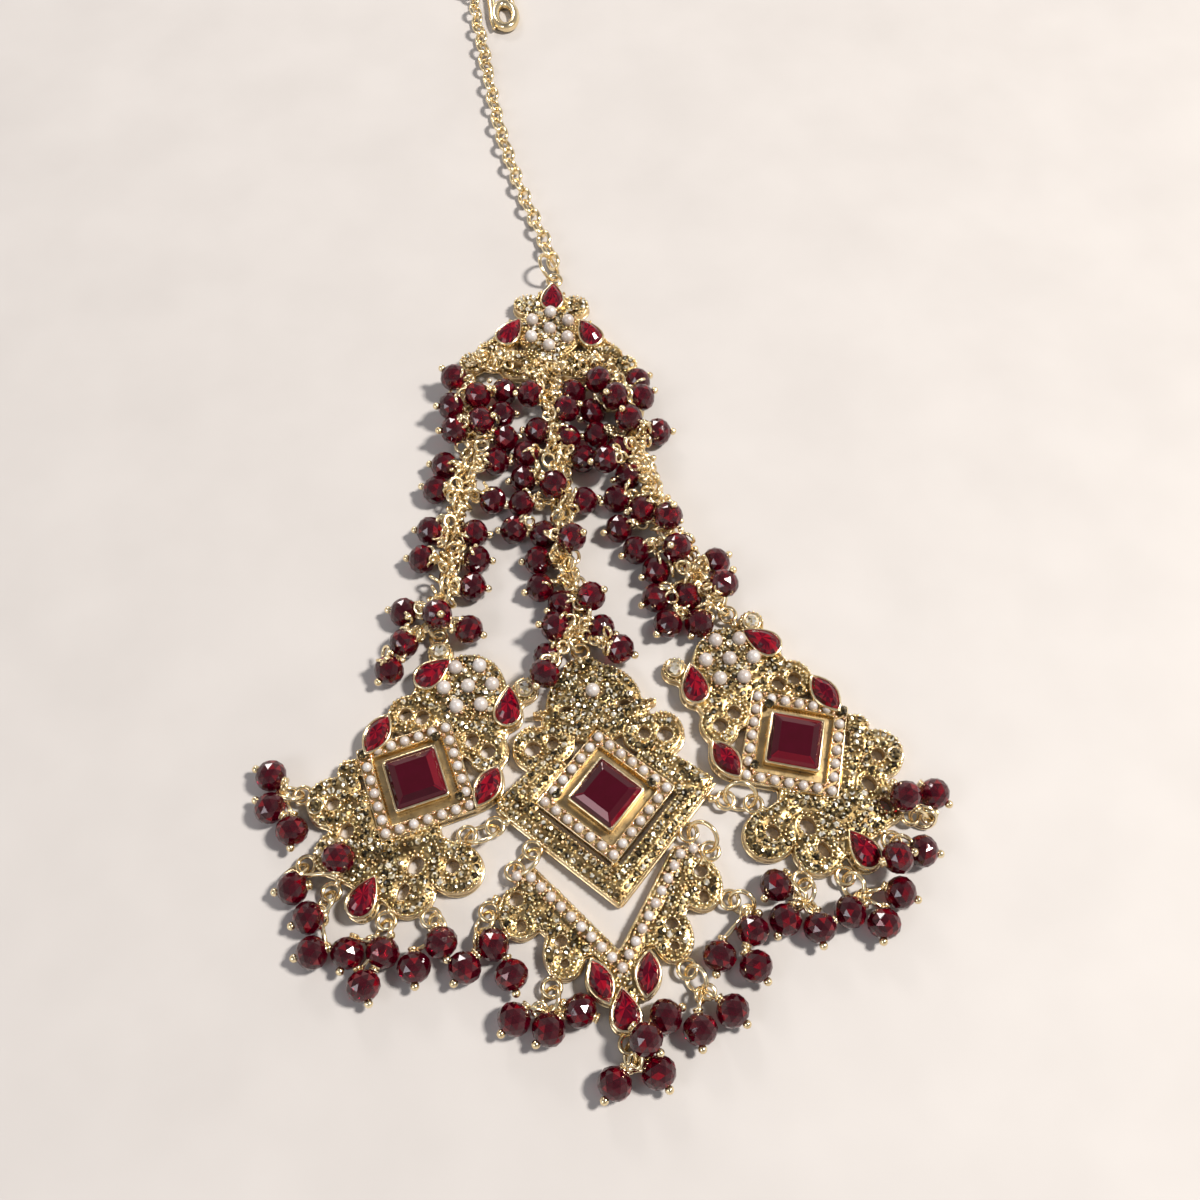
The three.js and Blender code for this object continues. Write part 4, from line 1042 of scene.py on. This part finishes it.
    def grain_places(self, stones):
        """Grains along the edge, and in the gaps between stones."""
        span = np.array([np.ptp(self.xs), np.ptp(self.ys)])
        kept = np.vstack([spaced(loop, 2.7 * GRAIN) for loop in self.loops_at(0.2)])
        kept = kept[self.free(kept, 0.1)]
        tries = rng.random((GRAIN_TRIES, 2)) * span + (self.xs[0], self.ys[0])
        tries = tries[self.free(tries, GRAIN * 0.8)]
        tries = tries[self.level_at(tries) < -0.4]
        gap = np.array([np.hypot(*(stones - spot).T).min() for spot in tries])
        for spot in tries[gap > CRYSTAL * 0.98]:
            if np.hypot(*(kept - spot).T).min() > 1.9 * GRAIN:
                kept = np.vstack([kept, spot])
        return kept


STONE_SIDES = 6
STONE_PROFILE = [(0, -0.5), (0.9, -0.1), (1.0, 0.05), (0.86, 0.38), (0.4, 0.6), (0, 0.61)]
LARGE_PROFILE = [(0, -0.6), (0.97, -0.05), (1.0, 0.05), (0.85, 0.3), (0.55, 0.55), (0, 0.57)]


def stone_shade_and_glint_tones(middle, spread):
    """A tone for each flat of a paving stone, spread from dark to light as painted shade and painted glints.
    Its table and its back share one.
    """
    flats = rng.normal(middle, spread, (len(STONE_PROFILE) - 3, STONE_SIDES))
    flat_top = np.full(STONE_SIDES, rng.normal(middle, spread))
    return np.clip(np.concatenate([np.repeat(flats, 2, axis=0).ravel(), flat_top, flat_top]), 0, 1)


def rim_of(loop, radius, height):
    path = eased(spaced(loop, 0.35))
    return sweep(np.column_stack([path, np.full(len(path), height)]), radius, 6, closed=True)


# Each level of a set stone: its share of the stone's outline, and its height.
SQUARE_LEVELS = [(0.9, GEM_LOW), (1.0, 2.2), (1.0, 2.65), (0.88, 3.1), (0.64, GEM_TOP)]
SMALL_LEVELS = [(0.86, GEM_LOW), (1.0, 2.3), (0.99, 2.6), (0.80, 3.1), (0.5, GEM_TOP - 0.1)]


def square_gem():
    rings = [rounded_diamond(SQUARE / 2 * share, SQUARE_CORNER) for share, _ in SQUARE_LEVELS]
    return loft(rings, [height for _, height in SQUARE_LEVELS])


def square_tones():
    """A tone for each flat around a square stone, and one for its table and back."""
    sides = len(rounded_diamond(SQUARE / 2))
    flats = rng.uniform(0.1, 0.7, (len(SQUARE_LEVELS) - 1, sides)).ravel()
    return np.concatenate([flats, flats, np.full(2 * sides, 0.25)])


def small_gem(stone):
    outline = CUTS[stone["cut"]](stone["length"], stone["width"], GEM_GROWTH)
    return loft([outline * share for share, _ in SMALL_LEVELS], [height for _, height in SMALL_LEVELS])


def is_outer(loop):
    """Whether a loop goes round metal, and not round a hole."""
    x, y = loop.T
    return (x * np.roll(y, -1) - np.roll(x, -1) * y).sum() > 0


# The walls of a square frame: inside, outside, top, and how far the top is rounded.
FRAME_WALLS = [
    (SQUARE / 2 + 0.02, SQUARE / 2 + 0.34, BEZEL_TOP, 0.08),
    (CHANNEL - 0.02, CHANNEL + 0.22, 1.95, 0.12),
    (TRAY - 0.22, TRAY, 2.0, 0.12),
]


def add_trim(plate, trim):
    """Rims, bezels, the walls of a square frame, the large crystals' collars, and the loops."""
    for loop in plate.loops_at(RIM * 0.9):
        trim.add(rim_of(loop, RIM if is_outer(loop) else HOLE_RIM, EDGE_HEIGHT))
    for loop in filter(is_outer, plate.loops_at(0.02)):
        trim.add(rim_of(loop, RIM, WALL_FOOT))
    for stone in plate.stones:
        trim.add(wall(stone_outline(stone, BEZEL_IN), stone_outline(stone, BEZEL_OUT), BEZEL_FOOT, BEZEL_TOP))
    if plate.frame:
        for inner, outer, top, soft in FRAME_WALLS:
            trim.add(wall(rounded_diamond(inner), rounded_diamond(outer), WALL_FOOT, top, soft))
    for x, y, radius, _ in plate.crystals:
        trim.add(torus(radius + 0.12, 0.2, 18, 6), at(x, y, BED + 0.45))
    for tab in TABS[plate.name]:
        add_loop(plate, tab, trim)


def add_loop(plate, tab, trim):
    """A loop for a jump ring, and the neck between it and the plate."""
    x = tab["x"] * plate.flip
    trim.add(torus(LOOP, WIRE, 22, 8), at(x, tab["y"], LOOP_HEIGHT))
    turn = math.radians(tab["turn"])
    out = np.array([math.cos(turn) * plate.flip, math.sin(turn), 0])
    middle = np.array([x, tab["y"], LOOP_HEIGHT])
    length, radius = NECK
    trim.add(sweep([middle - out * (LOOP + length), middle - out * LOOP], radius, 8))


def crystal_tones(shape, middle, spread=0.3):
    return np.clip(rng.normal(middle, spread, len(shape[1])), 0, 1)


def add_crystals(plate, crystals, stones):
    """The paving, and the large crystals, outside a square frame and in it."""
    shape = revolve(STONE_PROFILE, STONE_SIDES)
    heights = plate.relief(stones)
    for (x, y), height in zip(stones, heights):
        tilt = rng.normal(0, 0.3, 2)
        size = CRYSTAL * rng.uniform(0.8, 1.08)
        place = facing((x, y, height + rng.uniform(0.16, 0.38)), (*tilt, 1), rng.uniform(0, 3), size)
        # Each stone gets a random tone from dark to light: painted shade and painted glints.
        crystals.add(shape, place, stone_shade_and_glint_tones(rng.uniform(0.1, 0.9) + plate.design.get("lift", 0.03), 0.4))
    large = revolve(LARGE_PROFILE, 9, stagger=True)
    for x, y, radius, tone in plate.crystals:
        crystals.add(large, at(x, y, BED + 0.5, 0.3, radius), crystal_tones(large, tone, 0.2))
    for x, y in plate.corners:
        crystals.add(large, at(x, y, TRAY_BED + 0.65, 0.3, 0.7), crystal_tones(large, 0.1))


def frame_grains():
    """Two rows of grains, on both sides of the pearls in a square frame."""
    spots = []
    corners = diamond(PEARL_LINE)
    for start, end in zip(corners, np.roll(corners, -1, 0)):
        along = (end - start) / np.linalg.norm(end - start)
        out = np.array([along[1], -along[0]])
        for k in range(SIDE_PEARLS):
            middle = start + (end - start) * (k + 0.5) / SIDE_PEARLS
            spots += [middle + out * 0.55, middle - out * 0.55]
    return spots


GRAIN_SHAPE = ball(GRAIN, 7, 4)


def add_grains(plate, grains, stones):
    """Grains between the paving stones, and on both sides of the pearls in a square frame."""
    spots = plate.grain_places(stones)
    for (x, y), height in zip(spots, plate.relief(spots)):
        height += rng.uniform(0.12, 0.34)
        grains.add(GRAIN_SHAPE, at(x, y, height, 0, rng.uniform(0.8, 1.25)), rng.uniform(0, 0.45))
    if plate.frame:
        for x, y in frame_grains():
            height = TRAY_BED + 0.42 + rng.uniform(-0.05, 0.1)
            grains.add(GRAIN_SHAPE, at(x, y, height, 0, rng.uniform(1.15, 1.35)), 0.9)


def add_pearls(plate, pearls, grains):
    """The pearls, with grains around each one that isn't in a square frame."""
    for x, y, radius in plate.pearls:
        in_tray = plate.frame and abs(x) + abs(y) < TRAY * math.sqrt(2)
        bed = TRAY_BED if in_tray else BED + 0.15
        pearls.add(ball(radius, 18, 10), at(x, y, bed + radius * 0.75), rng.uniform(0, 1))
        if in_tray:
            continue
        count = 8 if radius > PEARL else 5
        reach = radius + GRAIN * 0.7
        for k in range(count):
            angle = 2 * math.pi * (k + rng.uniform(0.3, 0.7)) / count
            height = bed + 0.35 + rng.uniform(-0.05, 0.15)
            place = at(
                x + reach * math.cos(angle), y + reach * math.sin(angle), height, 0, rng.uniform(0.85, 1.2),
            )
            grains.add(GRAIN_SHAPE, place, rng.uniform(0.4, 1))


def build_gem(plate, label, shape, tones, place=None):
    gem = Pile()
    gem.add(shape, place, tones)
    node = f"{plate.name}_{label}"
    gem.piece(f"{node}_gem", RUBY, "ruby", [node], smooth=False, place=plate.place)


def build_gems(plate):
    if plate.frame:
        build_gem(plate, "stone", square_gem(), square_tones())
    for stone, label in zip(plate.stones, plate.design["names"]):
        shape = small_gem(stone)
        place = at(stone["x"], stone["y"], 0, math.radians(stone["turn"]))
        build_gem(plate, label, shape, rng.uniform(0.2, 0.9, len(shape[1])), place)


def build_plate(name):
    """One plate and all that is set in it: each kind of detail is one piece, and so is each red stone."""
    plate = Plate(name)
    body, trim, crystals, grains, pearls = (Pile() for _ in range(5))
    shape, tones = plate.body()
    body.add(shape, tone=tones)
    body.piece(f"{name}_sheet", SHADED_SHEET, "paved_gold", [f"{name}_plate"], sharp=35, place=plate.place)
    add_trim(plate, trim)
    trim.piece(f"{name}_trim", GOLD, "gold", place=plate.place)
    stones = plate.paving_places()
    add_crystals(plate, crystals, stones)
    crystals.piece(f"{name}_crystals", CRYSTALS, "crystal", smooth=False, place=plate.place)
    add_grains(plate, grains, stones)
    add_pearls(plate, pearls, grains)
    grains.piece(f"{name}_grains", GRAINS, "gold", place=plate.place)
    pearls.piece(f"{name}_pearls", PEARLS, "pearl", place=plate.place)
    build_gems(plate)


# ---- Rings ------------------------------------------------------------------------------------------
UP = np.array([0.0, 0.0, 1.0])


def rolled(first, second, roll):
    """The direction between two others that square with each other, at an angle from the first."""
    return first * math.cos(roll) + second * math.sin(roll)


def tab_of(plate, name):
    return next(tab for tab in TABS[plate] if tab["name"] == name)


def tab_point(plate, name):
    tab, place = tab_of(plate, name), place_of(plate)
    return place[:3, :3] @ (tab["x"] * PLATES[plate]["flip"], tab["y"], 0) + place[:3, 3]


def tab_heading(plate, name):
    turn = math.radians(tab_of(plate, name)["turn"])
    return place_of(plate)[:3, :3] @ (math.cos(turn) * PLATES[plate]["flip"], math.sin(turn), 0)


def jump_ring(a, b):
    """The leaning ring through the loops at a and b, with its end, which is the inside of its far side."""
    below = (LOOP_HEIGHT - WIRE) / math.sin(LEAN)
    half_span = np.linalg.norm(b - a) / 2
    radius = (half_span ** 2 + below ** 2) / (2 * below)
    out = (b - a) / np.linalg.norm(b - a)
    slope = rolled(np.cross(UP, out), UP, LEAN)
    middle = (a + b) / 2 + (0, 0, LOOP_HEIGHT) + slope * (radius - below)
    return {
        "radius": radius, "middle": middle, "axis": np.cross(out, slope),
        "end": middle + out * (radius - WIRE),
    }


def add_jump_ring(pile, ring):
    pile.add(torus(ring["radius"], WIRE, 28, 10), facing(ring["middle"], ring["axis"]))


def ring_on(plate, name):
    start = tab_point(plate, name)
    return jump_ring(start, start + tab_heading(plate, name) * REACH)


# ---- Strands and drops ------------------------------------------------------------------------------
def curve_through(points, count):
    """Points evenly spread in parameter along a centripetal Catmull-Rom curve."""
    points = [np.asarray(p, float) for p in points]
    ends = [2 * points[0] - points[1]] + points + [2 * points[-1] - points[-2]]
    spread = []
    for share in np.linspace(0, len(points) - 1, count):
        k = min(int(share), len(points) - 2)
        t = share - k
        p0, p1, p2, p3 = ends[k:k + 4]
        d0, d1, d2 = (np.linalg.norm(q - p) ** 0.5 for p, q in ((p0, p1), (p1, p2), (p2, p3)))
        m1 = ((p1 - p0) / d0 - (p2 - p0) / (d0 + d1) + (p2 - p1) / d1) * d1
        m2 = ((p2 - p1) / d1 - (p3 - p1) / (d1 + d2) + (p3 - p2) / d2) * d1
        square, cube = 3 * (p2 - p1) - 2 * m1 - m2, 2 * (p1 - p2) + m1 + m2
        spread.append(p1 + m1 * t + square * t * t + cube * t ** 3)
    return np.array(spread)


def nearest_on(curve, point):
    return curve[np.hypot(curve[:, 0] - point[0], curve[:, 1] - point[1]).argmin()]


def rest_height(point, curve):
    reach = BEAD + CORE
    near = nearest_on(curve, point)
    aside = math.hypot(point[0] - near[0], point[1] - near[1])
    on_core = CORE_HEIGHT + math.sqrt(reach ** 2 - aside ** 2) if aside < reach else BEAD
    least = point[2] if len(point) > 2 else 0
    return max(BEAD, on_core, least)


def settle(centres, rounds=200):
    """Beads that would cross are pushed apart, and none sinks into the ground."""
    apart = 2 * BEAD + BEAD_GAP
    for _ in range(rounds):
        moved = False
        for i, a in enumerate(centres):
            for b in centres[i + 1:]:
                dx, dy, dz = b[0] - a[0], b[1] - a[1], b[2] - a[2]
                length = math.sqrt(dx * dx + dy * dy + dz * dz)
                if length < apart:
                    push = (apart - length) / 2 / length
                    for k, d in enumerate((dx, dy, dz)):
                        a[k] -= d * push
                        b[k] += d * push
                    moved = True
        for centre in centres:
            centre[2] = max(centre[2], BEAD)
        if not moved:
            break


def bead_shape():
    """A round bead cut with rows of facets, and flat where its hole comes out."""
    angles = np.radians([-68, -45, -23, 0, 23, 45, 68])
    rings = [(math.cos(a), 0.98 * math.sin(a)) for a in angles]
    profile = [(0, rings[0][1]), *rings, (0, rings[-1][1])]
    return revolve([(r * BEAD * 1.06, z * BEAD) for r, z in profile], 12, stagger=True)


BEAD_SHAPE = bead_shape()


def add_bead(beads, metal, root, centre, along, linked=False):
    """A bead on its head pin, which ends in a ball, and hangs from the root by a wire or by small rings."""
    root, centre, along = (np.asarray(v, float) for v in (root, centre, along))
    # Most facets dark, a few bright red: painted glints inside the glass.
    tones = 0.2 + 0.7 * rng.uniform(0, 1, len(BEAD_SHAPE[1])) ** 2.5
    beads.add(BEAD_SHAPE, facing(centre, along, rng.uniform(0, 1)), tones)
    near = centre - along * BEAD * 0.9
    far = centre + along * BEAD * 0.9
    metal.add(ball(BALL, 12, 7), facing(far + along * BALL * 0.75, along))
    for back in (0, 0.42):
        metal.add(torus(*COLLAR, 14, 6), facing(near - along * back, along))
    if linked:
        reach = max(np.linalg.norm(near - root), 1e-6)
        add_links(metal, root, near, max(round(reach / LINK_PITCH), 1))
        add_loose_rings(metal, near)
    else:
        metal.add(sweep([root, (root + near) / 2 + (0, 0, 0.1), near], PIN, 8))
        add_links(metal, root, near, 1)


def add_links(metal, root, near, count):
    """Small rings on the way from the root to the near end of a bead's pin."""
    way = near - root
    reach = max(np.linalg.norm(way), 1e-6)
    for k in range(count):
        spot = root + way * min((k + 0.5) / count, 0.9 / reach + k)
        side = np.cross(way, UP) + (1e-4, 0, 0)
        side /= np.linalg.norm(side)
        roll = math.radians(35 if k % 2 else -50) + rng.normal(0, 0.25)
        metal.add(torus(*LINK, 18, 7), facing(spot, rolled(side, UP, roll)))


def add_loose_rings(metal, spot):
    """Three small rings and a pin's ball, strewn over a spot."""
    for _ in range(3):
        aside = rng.normal(0, 0.7, 2)
        place = spot + (*aside, rng.uniform(0.3, 1.7))
        metal.add(torus(rng.uniform(0.6, 0.95), 0.25, 16, 6), facing(place, rng.normal(0, 1, 3)))
    metal.add(ball(0.42, 8, 5), at(*(spot + (*rng.normal(0, 0.9, 2), rng.uniform(0.8, 1.9)))))


def spread_along(curve, pitch):
    """Points along a curve about a pitch apart, each with the way on from there."""
    run = run_along(curve)
    count = max(round(run[-1] / pitch), 1)
    spread = []
    for step in run[-1] * np.arange(count + 1) / count:
        steps = np.clip([step - 0.8, step, step + 0.8], 0, run[-1])
        before, spot, after = np.stack([np.interp(steps, run, axis) for axis in curve.T], 1)
        spread.append((spot, (after - before) / np.linalg.norm(after - before)))
    return spread


def add_core(metal, curve):
    """A strand's core: large rings that lean to and fro, with small ones and balls on both sides."""
    for k, (spot, along) in enumerate(spread_along(curve, CORE_PITCH)):
        roll = math.radians(48) * (1 if k % 2 else -1) + rng.normal(0, 0.2)
        axis = rolled(UP, np.cross(along, UP), roll) + rng.normal(0, 0.08, 3)
        metal.add(torus(*CORE_RING, 22, 8), facing((*spot[:2], 2.1), axis))
    for k, (spot, along) in enumerate(spread_along(curve, BUNCH_PITCH)):
        aside = np.cross(along, UP) * rng.uniform(0.5, 1.6) * (1 if k % 2 else -1)
        place = spot + aside + (0, 0, rng.uniform(0.6, 2.5))
        metal.add(torus(rng.uniform(0.75, 1.1), LINK[1], 18, 7), facing(place, rng.normal(0, 1, 3)))
        if k % 2:
            metal.add(ball(0.5, 10, 6), at(*(spot - aside * 1.1 + (0, 0, rng.uniform(1.2, 2.4)))))


def lay_strands_and_drops():
    """Rows of name, rings, core curve and bead centres, and rows of name, ring, headings and bead centres."""
    strands, drops = [], []
    for name, row in STRANDS.items():
        first, last = ring_on("top", f"strand_{name}"), ring_on(row["to"], f"strand_{name}")
        start, end = first["end"].copy(), last["end"].copy()
        start[2] = end[2] = CORE_HEIGHT
        curve = curve_through([start, *[(x, y, CORE_HEIGHT) for x, y in row["core"]], end], 81)
        centres = [[p[0], p[1], rest_height(p, curve)] for p in row["beads"]]
        strands.append((name, (first, last), curve, centres))
    for name, rows in DROPS.items():
        ring = ring_on(name.split("_")[1], name)
        drops.append((name, ring, [row[3] for row in rows], [list(map(float, row[:3])) for row in rows]))
    settle([centre for row in strands + drops for centre in row[3]])
    return strands, drops


def build_strand(name, rings, curve, centres):
    beads, metal = Pile(), Pile()
    for ring in rings:
        add_jump_ring(metal, ring)
    add_core(metal, curve)
    edge = tab_point("top", f"strand_{name}") * (0.72, 1, 1) + (0, 1.8, 2.0)
    for aside in np.linspace(-2.6, 2.6, 5):
        add_loose_rings(metal, edge + (aside, rng.uniform(-0.6, 0.6), 0))
    for centre in centres:
        root = nearest_on(curve, centre) + (0, 0, 0.8)
        along = np.array(centre) - root
        along[2] *= 0.5
        add_bead(beads, metal, root, centre, along / np.linalg.norm(along), linked=True)
    metal.piece(f"strand_{name}_rings", GOLD, "gold", [f"strand_{name}"])
    beads.piece(f"strand_{name}_beads", GARNET, "garnet", smooth=False)


def build_drops(plate, drops):
    """All clusters of drops on a plate, as one piece of metal and one of glass."""
    beads, metal = Pile(), Pile()
    for _, ring, headings, centres in drops:
        add_jump_ring(metal, ring)
        for heading, centre in zip(headings, centres):
            angle = math.radians(heading)
            add_bead(beads, metal, ring["end"], centre, (math.cos(angle), math.sin(angle), 0))
    metal.piece(f"drops_{plate}_rings", GOLD, "gold", [row[0] for row in drops])
    beads.piece(f"drops_{plate}_beads", GARNET, "garnet", smooth=False)


def build_strands_and_drops():
    strands, drops = lay_strands_and_drops()
    for strand in strands:
        build_strand(*strand)
    for plate in ("left", "right", "chevron"):
        build_drops(plate, [row for row in drops if row[0].startswith(f"drops_{plate}_")])


# ---- Link rings, chain and hook ---------------------------------------------------------------------
def build_link_rings():
    rings = Pile()
    for name, start, end in LINKS:
        add_jump_ring(rings, jump_ring(tab_point(start, name), tab_point(end, name)))
    first, last = (np.array([*loop, 0.0]) for loop in CHAIN_LOOPS)
    add_jump_ring(rings, jump_ring(tab_point("top", "top_ring"), first))
    add_jump_ring(rings, jump_ring(last, np.array([*HOOK_LOOP, 0.0])))
    nodes = [f"{name}_ring" for name, _, _ in LINKS] + ["top_ring", "hook_ring"]
    rings.piece("link_rings", GOLD, "gold", nodes)


def build_chain():
    """Oval links, each turned the other way from the one before."""
    chain = Pile()
    curve = curve_through([(x, y, CHAIN_HEIGHT) for x, y in CHAIN_ROUTE], 160)
    for k, (spot, along) in enumerate(spread_along(curve, CHAIN_PITCH)):
        roll = math.radians(42) * (1 if k % 2 else -1) + rng.normal(0, 0.12)
        axis = rolled(UP, np.cross(along, UP), roll)
        place = np.eye(4)
        place[:3, :3] = np.column_stack([along, np.cross(axis, along), axis])
        place[:3, 3] = spot + (0, 0, 0.15)
        chain.add(torus(*CHAIN_LINK, 24, 9, oval=CHAIN_OVAL), place)
    chain.piece("chain_links", GOLD, "gold", ["head_chain"])


def build_hook():
    """The eye, the pointed prong, the bend back to the eye, and the loop for the chain's ring."""
    hook = Pile()
    eye = placed(ellipse(EYE["rx"], EYE["ry"], 40), EYE)
    hook.add(sweep(np.column_stack([eye, np.full(len(eye), HOOK)]), HOOK_BAR, 12, closed=True))
    prong = curve_through([(x, y, HOOK) for x, y in PRONG], 24)
    hook.add(sweep(prong, np.linspace(0.28, HOOK_BAR, len(prong)), 10))
    angles = math.pi - math.pi * np.arange(BEND["steps"] + 1) / BEND["steps"]
    radius = BEND["radius"]
    bend = [(BEND["x"] + radius * math.cos(a), BEND["y"] + radius * math.sin(a), HOOK) for a in angles]
    hook.add(sweep(curve_through([*bend, (*SHANK_END, HOOK)], 40), HOOK_BAR, 10))
    x, y = HOOK_LOOP
    hook.add(torus(LOOP, WIRE, 24, 8), at(x, y, LOOP_HEIGHT))
    hook.add(sweep([(x + LOOP, y, HOOK), (BEND["x"] - radius, y, HOOK)], 0.6, 8))
    hook.piece("hook_wire", GOLD, "gold", ["hook"])


for plate_name in PLATES:
    build_plate(plate_name)
build_strands_and_drops()
build_link_rings()
build_chain()
build_hook()


# ---- Floor, light and camera ------------------------------------------------------------------------
def build_floor():
    half = 1.2
    corners = [(-half, -half, 0), (half, -half, 0), (half, half, 0), (-half, half, 0)]
    mesh = bpy.data.meshes.new("floor")
    mesh.from_pydata(corners, [], [(0, 1, 2, 3)])
    mesh.materials.append(floor_finish())
    floor = add_object("floor", mesh)


def look_at(thing, spot, target):
    """Points a lamp or camera at a target, in metres."""
    way = Vector(target) - Vector(spot)
    thing.location = spot
    thing.rotation_euler = way.to_track_quat("-Z", "Y").to_euler()


def add_softbox(name, spot, target, size, power, colour):
    lamp = bpy.data.lights.new(name, "AREA")
    lamp.shape = "DISK"
    lamp.size = size
    lamp.energy = power
    lamp.color = colour
    look_at(add_object(name, lamp), spot, target)


def build_light():
    middle = (0.0, 0.03, 0.0)
    add_softbox("key", (0.65, 0.036, 0.94), middle, 0.18, 23.5, (1.0, 0.95, 0.88))
    add_softbox("fill", (-0.5, -0.25, 0.5), middle, 0.3, 1.2, (0.92, 0.94, 1.0))
    add_softbox("back", (-0.15, 0.65, 0.35), middle, 0.15, 1.2, (1.0, 0.95, 0.92))
    world = bpy.data.worlds.new("studio")
    world.use_nodes = True
    tree = world.node_tree
    space = add_node(tree, "ShaderNodeTexCoord")
    rise = add_node(tree, "ShaderNodeSeparateXYZ", {"Vector": space.outputs["Generated"]}).outputs["Z"]
    sky = ramp(tree, rise, (0.0, (1.0, 0.96, 0.90)), (0.4, (0.48, 0.47, 0.46)), (1.0, (0.18, 0.18, 0.21)))
    tree.links.new(sky, tree.nodes["Background"].inputs["Color"])
    bpy.context.scene.world = world


def build_camera():
    azimuth, elevation, reach = math.radians(-7), math.radians(63.5), 0.170
    target = np.array([0.00278, 0.02892, 0.0])
    level = math.cos(elevation)
    back = np.array([math.sin(azimuth) * level, -math.cos(azimuth) * level, math.sin(elevation)])
    data = bpy.data.cameras.new("camera")
    data.sensor_width = 36
    data.lens = 36.09
    data.clip_start = 0.01
    camera = add_object("camera", data)
    look_at(camera, tuple(target + back * reach), tuple(target))
    bpy.context.scene.camera = camera


build_floor()
build_light()
build_camera()
bpy.context.scene.view_settings.view_transform = "Standard"
